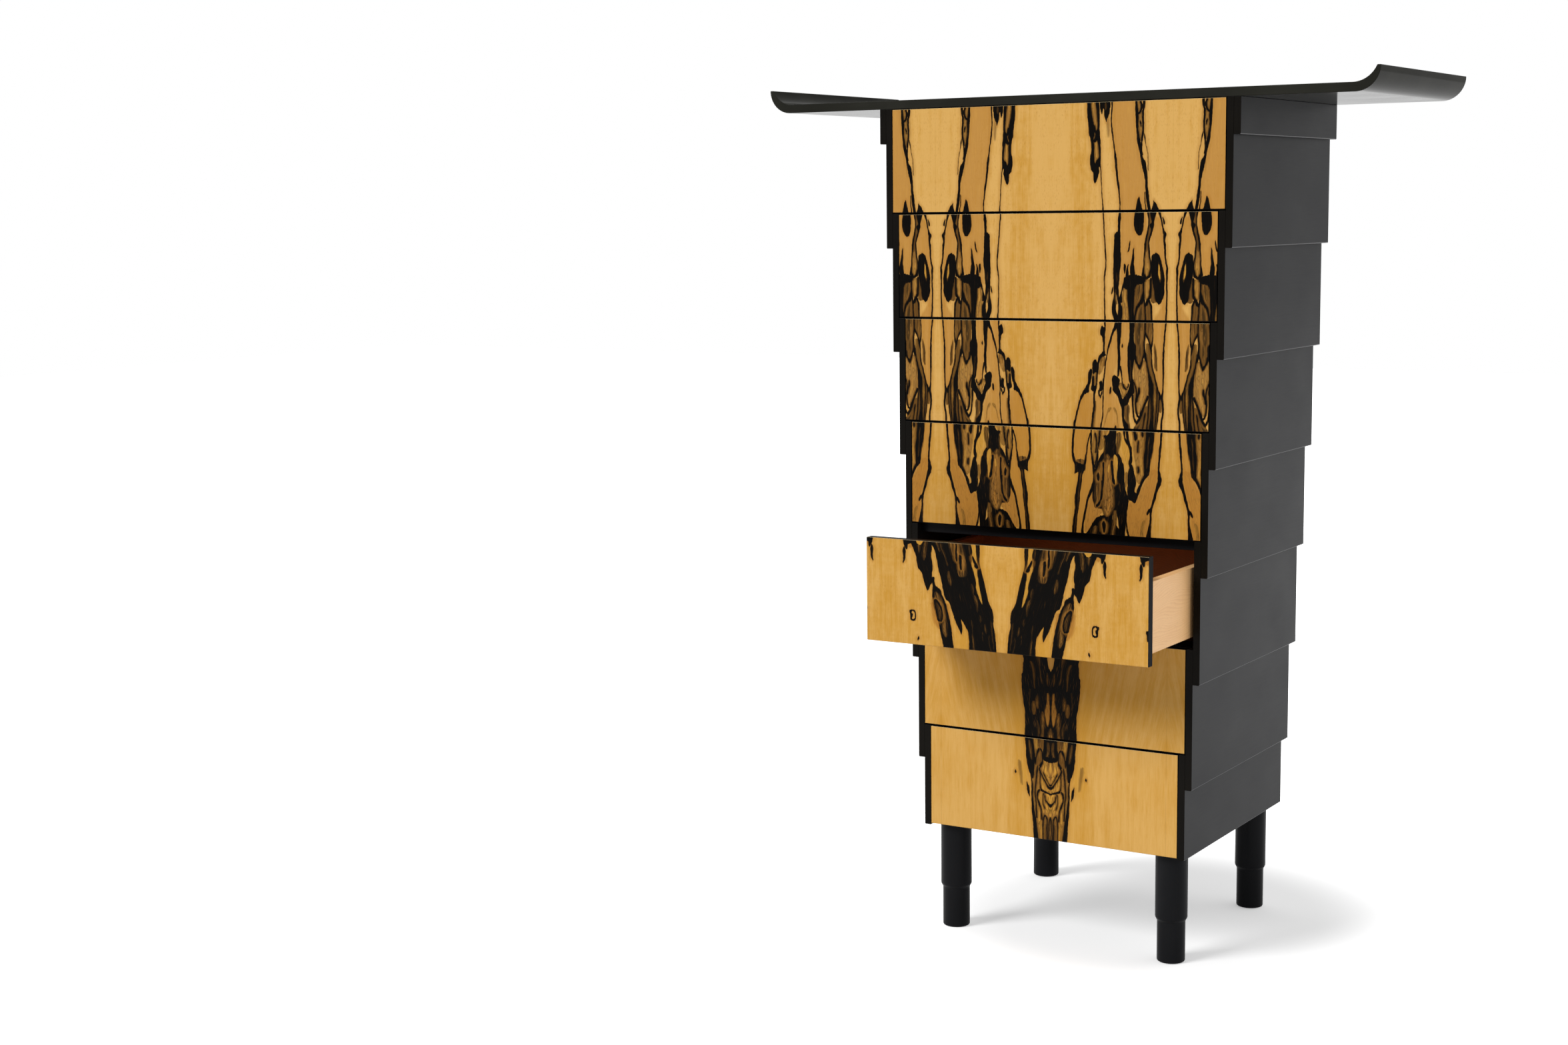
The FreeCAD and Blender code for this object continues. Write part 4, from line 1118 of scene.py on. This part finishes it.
def front_face(bm):
    """The foremost face of a board, and that face's lower edge."""
    face = min(bm.faces, key=lambda each: each.calc_center_median().y)
    return face, min(face.edges, key=lambda each: each.verts[0].co.z + each.verts[1].co.z)


def draw_on(bm, start, *steps):
    """Draws an outline from a first vertex. A step is a point, or an arc's centre, axis, angle and count."""
    vertex = bm.verts.new(start)
    for step in steps:
        if isinstance(step, Vector):
            following = bmesh.ops.extrude_vert_indiv(bm, verts=[vertex])["verts"][0]
            following.co = step
        else:
            centre, axis, angle, count = step
            arc = bmesh.ops.spin(bm, geom=[vertex], cent=centre, axis=axis, dvec=(0, 0, 0),
                                 angle=angle, steps=count, use_merge=False)
            following = next(item for item in arc["geom_last"] if isinstance(item, bmesh.types.BMVert))
        vertex = following


def pan_screw(bm, seat, way, size):
    """A pan-head screw with a cross recess, its head standing on the seat and facing along way."""
    before = set(bm.verts)
    head = bmesh.ops.create_circle(bm, cap_ends=True, segments=SCREW_SEGMENTS, radius=size.screw_head / 2)
    disc = head["verts"][0].link_faces[0]
    grown = bmesh.ops.extrude_face_region(bm, geom=[disc])["geom"]
    crown = next(item for item in grown if isinstance(item, bmesh.types.BMFace))
    bmesh.ops.translate(bm, vec=(0, 0, size.screw_height), verts=crown.verts)
    bevel(bm, list(crown.edges), size.screw_height * CROWN_ROUND)
    crown = max((face for face in bm.faces if not before.intersection(face.verts)),
                key=lambda face: face.calc_center_median().z)
    bmesh.ops.inset_individual(bm, faces=[crown], thickness=size.screw_head * RECESS_RIM)
    bmesh.ops.poke(bm, faces=[crown], offset=-size.screw_height * RECESS_DEPTH)
    fresh = [vertex for vertex in bm.verts if vertex not in before]
    turn = Vector((0, 0, 1)).rotation_difference(way).to_matrix()
    bmesh.ops.rotate(bm, cent=(0, 0, 0), matrix=turn, verts=fresh)
    bmesh.ops.translate(bm, vec=seat, verts=fresh)


# Operators

class PieceOperator:
    """What the chest's operators share"""
    bl_options = {"REGISTER", "UNDO"}


class CHEST_OT_fronts(PieceOperator, bpy.types.Operator):
    """Veneer the seven drawer fronts and paint their edges"""
    bl_idname = "chest.fronts"
    bl_label = "Drawer fronts"

    def execute(self, context):
        size = context.scene.chest_sizes
        black = context.scene.chest_lacquer
        veneer = context.scene.chest_veneer
        arris_highlight = lacquer_finish("front_arris_highlight", veneer.arris_highlight, veneer.roughness, veneer.gloss, 0)
        edge = lacquer_finish("front_edge_paint_and_gap_shadow", black.edge, black.roughness, black.edge_gloss, 0)
        for n in DRAWERS:
            bm = board_box(*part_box(f"drawer_{n}_front"))
            _, lower = front_face(bm)
            bevel(bm, [lower], size.front_lip)
            face, lower = front_face(bm)
            bevel(bm, [each for each in face.edges if each is not lower], size.front_ease)
            # Upper edge faces get a lighter wood colour, a painted highlight for the light along each front's
            # top arris.
            for each in bm.faces:
                forward, up = -each.normal.y, each.normal.z
                flat = forward > FLAT_FRONT
                crown = up > TILTED and forward > TILTED
                # Lower lips outside CLEAR_LIPS get the black edge paint as painted shadow, widening the dark
                # gap below the front.
                lip = up < -TILTED and forward > TILTED and n in CLEAR_LIPS
                each.material_index = 0 if flat or lip else 2 if crown else 1
            finished_piece(f"veneered_front_{n}", bm, [veneer_finish(n, veneer), edge, arris_highlight],
                           f"drawer_{n}", "front_veneer", f"drawer_{n}_front")
        return {"FINISHED"}


class CHEST_OT_top(PieceOperator, bpy.types.Operator):
    """Shape the thin top with its upturned ends"""
    bl_idname = "chest.top"
    bl_label = "Upswept top"

    def execute(self, context):
        size = context.scene.chest_sizes
        black = context.scene.chest_lacquer
        low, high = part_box("top_board")
        outer, inner = size.curl_outer_radius, size.curl_inner_radius
        upper = low.z + size.top_thickness
        rise = high.z - upper
        inner_turn = acos(1.0 - rise / inner)
        tip = high.x - size.curl_tip
        run = (inner ** 2 - (inner - rise) ** 2) ** 0.5
        bm = bmesh.new()
        draw_on(bm, (0, low.y, low.z),
                Vector((high.x - outer, low.y, low.z)),
                ((high.x - outer, low.y, high.z), (0, -1, 0), pi / 2, CURL_SEGMENTS[0]),
                Vector((tip, low.y, high.z)),
                ((tip - run, low.y, upper + inner), (0, 1, 0), inner_turn, CURL_SEGMENTS[1]),
                Vector((0, low.y, upper)))
        bmesh.ops.mirror(bm, geom=bm.verts[:] + bm.edges[:], axis="X", merge_dist=TOP_WELD)
        bmesh.ops.remove_doubles(bm, verts=bm.verts, dist=TOP_WELD)
        end = bmesh.ops.contextual_create(bm, geom=bm.edges[:])["faces"][0]
        grown = bmesh.ops.extrude_face_region(bm, geom=[end])["geom"]
        moved = [item for item in grown if isinstance(item, bmesh.types.BMVert)]
        bmesh.ops.translate(bm, vec=(0, high.y - low.y, 0), verts=moved)
        bmesh.ops.recalc_face_normals(bm, faces=bm.faces)
        bevel_sharp(bm, size.top_ease)
        finish = lacquer_finish("top_black", black.top_black, black.top_roughness, black.top_gloss, 0)
        finished_piece("upswept_top", bm, [finish], "case", "top_lacquer", "top_board")
        return {"FINISHED"}


class CHEST_OT_legs(PieceOperator, bpy.types.Operator):
    """Turn the four stepped legs"""
    bl_idname = "chest.legs"
    bl_label = "Turned legs"

    def execute(self, context):
        size = context.scene.chest_sizes
        black = context.scene.chest_lacquer
        finish = lacquer_finish("leg_black", black.black, black.roughness, black.front_gloss, 2)
        upper, lower, bore = size.leg_upper / 2, size.leg_lower / 2, size.bolt_bore / 2
        half_step, half_ogee = (upper - lower) / 2, size.leg_ogee / 2
        radius = (half_step ** 2 + half_ogee ** 2) / (2 * half_step)
        turn = 2 * atan2(half_step, half_ogee)
        foot, step = size.foot_round, size.leg_step
        for name in LEGS:
            low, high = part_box(name)
            floor_of_bore = high.z - size.bore_depth
            bm = bmesh.new()
            draw_on(bm, (0, 0, 0),
                    Vector((lower - foot, 0, 0)),
                    ((lower - foot, 0, foot), (0, -1, 0), pi / 2, FOOT_SEGMENTS),
                    Vector((lower, 0, step - half_ogee)),
                    ((lower + radius, 0, step - half_ogee), (0, 1, 0), turn, OGEE_SEGMENTS),
                    ((upper - radius, 0, step + half_ogee), (0, -1, 0), turn, OGEE_SEGMENTS),
                    Vector((upper, 0, high.z)),
                    Vector((bore, 0, high.z)),
                    Vector((bore, 0, floor_of_bore)),
                    Vector((0, 0, floor_of_bore)))
            bmesh.ops.spin(bm, geom=bm.verts[:] + bm.edges[:], cent=(0, 0, 0), axis=(0, 0, 1),
                           dvec=(0, 0, 0), angle=2 * pi, steps=LEG_SEGMENTS, use_merge=True)
            bmesh.ops.remove_doubles(bm, verts=bm.verts, dist=WELD)
            bmesh.ops.recalc_face_normals(bm, faces=bm.faces)
            middle = (low + high) / 2
            bmesh.ops.translate(bm, vec=(middle.x, middle.y, 0), verts=bm.verts)
            finished_piece(f"turned_{name}", bm, [finish], "case", "leg_lacquer", name)
        return {"FINISHED"}


class CHEST_OT_case(PieceOperator, bpy.types.Operator):
    """Ease and lacquer the side boards, rails, back panel and bottom board"""
    bl_idname = "chest.case"
    bl_label = "Case boards"

    def execute(self, context):
        size = context.scene.chest_sizes
        black = context.scene.chest_lacquer
        rough = black.roughness
        side = lacquer_finish("side_black", black.black, rough, black.side_gloss, 1)
        rail = lacquer_finish("rail_black", black.black, rough, black.front_gloss, 0)
        back = lacquer_finish("back_black", black.black, rough, black.side_gloss, 2)
        front = lacquer_finish("front_black", black.warm_black, rough, black.front_gloss, 2)
        arris_highlight = lacquer_finish("side_arris_highlight", black.side_edge_highlight, rough, black.side_gloss, 1)
        for name in SIDE_BOARDS:
            bm = eased_copy(name, size.board_ease)
            for face in bm.faces:
                if face.normal.y < -FACES_FRONT:
                    face.material_index = 1
                # Lower outer edges of the side boards get a lighter grey as a painted highlight.
                elif face.normal.z < -HIGHLIGHT_TILT and abs(face.normal.x) > HIGHLIGHT_TILT:
                    face.material_index = 2
            finished_piece(f"eased_{name}", bm, [side, front, arris_highlight], "case", "case_lacquer", name)
        for name in (*RAILS, "bottom_board", "back_panel"):
            finished_piece(f"eased_{name}", eased_copy(name, size.board_ease),
                           [back if name == "back_panel" else rail], "case", "case_lacquer", name)
        return {"FINISHED"}


class CHEST_OT_boxes(PieceOperator, bpy.types.Operator):
    """Make the hardwood drawer boxes and their bottoms"""
    bl_idname = "chest.boxes"
    bl_label = "Drawer boxes"

    def execute(self, context):
        size = context.scene.chest_sizes
        tone = context.scene.chest_lacquer
        outside = board_wood_finish("box_wood", tone.box_wood, tone.box_grain, tone.box_roughness)
        inside = board_wood_finish("inside_wood_painted_shade", tone.inside_shade_wood,
                                   shaded(tone.inside_shade_wood, INSIDE_GRAIN_SHADE), tone.box_roughness)
        for n in DRAWERS:
            box, panel = f"drawer_{n}_box", f"drawer_{n}_bottom"
            low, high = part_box(box)
            middle = (low + high) / 2
            bm = eased_copy(box, size.box_ease)
            # Inward upright faces, and the bottoms all over, take the darker, redder painted shade of the
            # drawer's inside.
            for face in bm.faces:
                inward = (middle - face.calc_center_median()).dot(face.normal) > 0
                face.material_index = 1 if inward and abs(face.normal.z) < UPRIGHT else 0
            finished_piece(f"eased_{box}", bm, [outside, inside], f"drawer_{n}", "drawer_box_wood", box)
            finished_piece(f"eased_{panel}", eased_copy(panel, size.box_ease / 2), [inside],
                           f"drawer_{n}", "drawer_panel_wood", panel)
        return {"FINISHED"}


class CHEST_OT_runners(PieceOperator, bpy.types.Operator):
    """Plate the runners and the leg bolts"""
    bl_idname = "chest.runners"
    bl_label = "Runners and bolts"

    def execute(self, context):
        look = context.scene.chest_lacquer
        rolled = steel_finish("rolled_steel", look.steel, look.steel_roughness, 1)
        finishes = {f"drawer_{n}_runners": rolled for n in DRAWERS}
        finishes["cabinet_runners"] = rolled
        finishes["leg_bolts"] = steel_finish("bolt_steel", look.steel, look.steel_roughness, 2)
        for name, finish in finishes.items():
            for slot in bpy.data.objects[name].material_slots:
                slot.link = "OBJECT"
                slot.material = finish
        return {"FINISHED"}


class CHEST_OT_screws(PieceOperator, bpy.types.Operator):
    """Drive the screws of the drawer fronts and of the back panel"""
    bl_idname = "chest.screws"
    bl_label = "Screws"

    def execute(self, context):
        look = context.scene.chest_lacquer
        finish = steel_finish("screw_steel", look.steel, look.steel_roughness, 1)
        for n in DRAWERS:
            low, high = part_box(f"drawer_{n}_box")
            level = low.z + (high.z - low.z) * FRONT_SCREW_LEVEL
            bm = self.row(context, low, high, FRONT_SCREWS, low.y + INNER_FRONT, level)
            finished_piece(f"front_screws_{n}", bm, [finish], f"drawer_{n}", "bolt_steel")
        low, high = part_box("bottom_board")
        bm = self.row(context, low, high, BACK_SCREWS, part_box("back_panel")[1].y, (low.z + high.z) / 2)
        finished_piece("back_panel_screws", bm, [finish], "case", "bolt_steel")
        return {"FINISHED"}

    def row(self, context, low, high, shares, y, z):
        """A row of screws that face the back, at shares of the way from low to high."""
        bm = bmesh.new()
        for across in shares:
            seat = Vector((low.x + (high.x - low.x) * across, y, z))
            pan_screw(bm, seat, Vector((0, 1, 0)), context.scene.chest_sizes)
        return bm


class CHEST_OT_stage(PieceOperator, bpy.types.Operator):
    """Lay the floor, light the studio and set up the camera"""
    bl_idname = "chest.stage"
    bl_label = "Stage"

    def execute(self, context):
        look = context.scene.chest_stage
        scene = context.scene
        scene.view_settings.view_transform = "Standard"
        self.floor(scene, look)
        self.studio(scene, look)
        self.sun(scene, look)
        self.camera(scene, look)
        return {"FINISHED"}

    def floor(self, scene, look):
        bm = bmesh.new()
        bmesh.ops.create_grid(bm, x_segments=1, y_segments=1, size=FLOOR_HALF)
        bmesh.ops.translate(bm, vec=(0, 0, -FLOOR_DROP), verts=bm.verts)
        mesh = bpy.data.meshes.new("studio_floor")
        bm.to_mesh(mesh)
        bm.free()
        floor = bpy.data.objects.new("studio_floor", mesh)
        scene.collection.objects.link(floor)
        paint = new_finish("floor_white")
        seen = paint.node("ShaderNodeLightPath", output="Is Camera Ray")
        seen = seen.most(seen.outlet("Is Glossy Ray")).most(seen.outlet("Is Transmission Ray"))
        low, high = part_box("bottom_board")
        middle_mm = (low + high) / 2 * MM
        x, y, _ = paint.millimetres()
        spot = paint.node("ShaderNodeCombineXYZ", inputs={0: x - middle_mm.x - FADE_SHIFT_MM[0],
                                                          1: y - middle_mm.y - FADE_SHIFT_MM[1]})
        away = paint.node("ShaderNodeVectorMath", {"operation": "LENGTH"}, {0: spot}, "Value")
        # The added white grows away from the chest, painting out the chest's cast shadow there.
        lift = look.floor_lift + away.step(*FLOOR_FADE_MM) * (1.0 - look.floor_lift)
        matt = paint.node("ShaderNodeBsdfDiffuse", inputs={"Color": look.floor})
        glow = paint.node("ShaderNodeEmission", inputs={"Color": (1, 1, 1), "Strength": seen * lift})
        both = paint.node("ShaderNodeAddShader", inputs={0: matt, 1: glow})
        paint.node("ShaderNodeOutputMaterial", inputs={"Surface": both})
        mesh.materials.append(paint.owner)

    def studio(self, scene, look):
        world = bpy.data.worlds.new("studio")
        scene.world = world
        studio = Finish(world)
        way = studio.node("ShaderNodeTexCoord", output="Generated")
        depth = studio.node("ShaderNodeSeparateXYZ", inputs={0: way}).outlet("Y")
        behind = depth.step(*BACK_SPAN)
        level = look.front_level + behind * (look.back_level - look.front_level)
        level = level + depth.outlet("X").step(*RIGHT_SPAN) * look.right_level
        seen = studio.node("ShaderNodeLightPath", output="Is Camera Ray")
        seen = seen.most(seen.outlet("Is Glossy Ray") * behind).most(seen.outlet("Is Transmission Ray"))
        light = studio.node("ShaderNodeBackground",
                            inputs={"Color": (1, 1, 1), "Strength": level.most(seen)})
        studio.node("ShaderNodeOutputWorld", inputs={"Surface": light})

    def sun(self, scene, look):
        lamp = bpy.data.lights.new("key_light", "SUN")
        lamp.energy = look.sun
        lamp.angle = look.sun_spread
        key = bpy.data.objects.new("key_light", lamp)
        key.rotation_euler = SUN_WAY.to_track_quat("Z", "Y").to_euler()
        scene.collection.objects.link(key)

    def camera(self, scene, look):
        eye = bpy.data.cameras.new("photo_camera")
        eye.sensor_fit = "HORIZONTAL"
        eye.sensor_width = SENSOR_WIDTH_MM
        eye.lens = look.lens
        camera = bpy.data.objects.new("photo_camera", eye)
        camera.matrix_world = (Matrix.Translation(CAMERA_PLACE) @ Matrix.Rotation(CAMERA_YAW, 4, "Z")
                               @ Matrix.Rotation(pi / 2 + CAMERA_PITCH, 4, "X")
                               @ Matrix.Rotation(CAMERA_ROLL, 4, "Z"))
        scene.collection.objects.link(camera)
        scene.camera = camera


OPERATORS = (CHEST_OT_stage, CHEST_OT_fronts, CHEST_OT_top, CHEST_OT_legs, CHEST_OT_case,
             CHEST_OT_boxes, CHEST_OT_runners, CHEST_OT_screws)
SETTINGS = {"chest_sizes": ChestSizes, "chest_veneer": VeneerLook,
            "chest_lacquer": LacquerLook, "chest_stage": StageLook}


class CHEST_PT_panel(bpy.types.Panel):
    """The chest's pieces and settings"""
    bl_idname = "CHEST_PT_panel"
    bl_label = "Stepped chest"
    bl_space_type = "VIEW_3D"
    bl_region_type = "UI"
    bl_category = "Chest"

    def draw(self, context):
        for operator in OPERATORS:
            self.layout.operator(operator.bl_idname)
        for name, group in SETTINGS.items():
            box = self.layout.box()
            settings = getattr(context.scene, name)
            for setting in group.__annotations__:
                box.prop(settings, setting)


def register():
    for group in SETTINGS.values():
        bpy.utils.register_class(group)
    for name, group in SETTINGS.items():
        setattr(bpy.types.Scene, name, PointerProperty(type=group))
    for each in (*OPERATORS, CHEST_PT_panel):
        bpy.utils.register_class(each)


def unregister():
    for each in reversed((*OPERATORS, CHEST_PT_panel)):
        bpy.utils.unregister_class(each)
    for name, group in SETTINGS.items():
        delattr(bpy.types.Scene, name)
        bpy.utils.unregister_class(group)


def main():
    register()
    for operator in OPERATORS:
        getattr(bpy.ops.chest, operator.bl_idname.split(".")[1])()


if __name__ == "__main__":
    main()
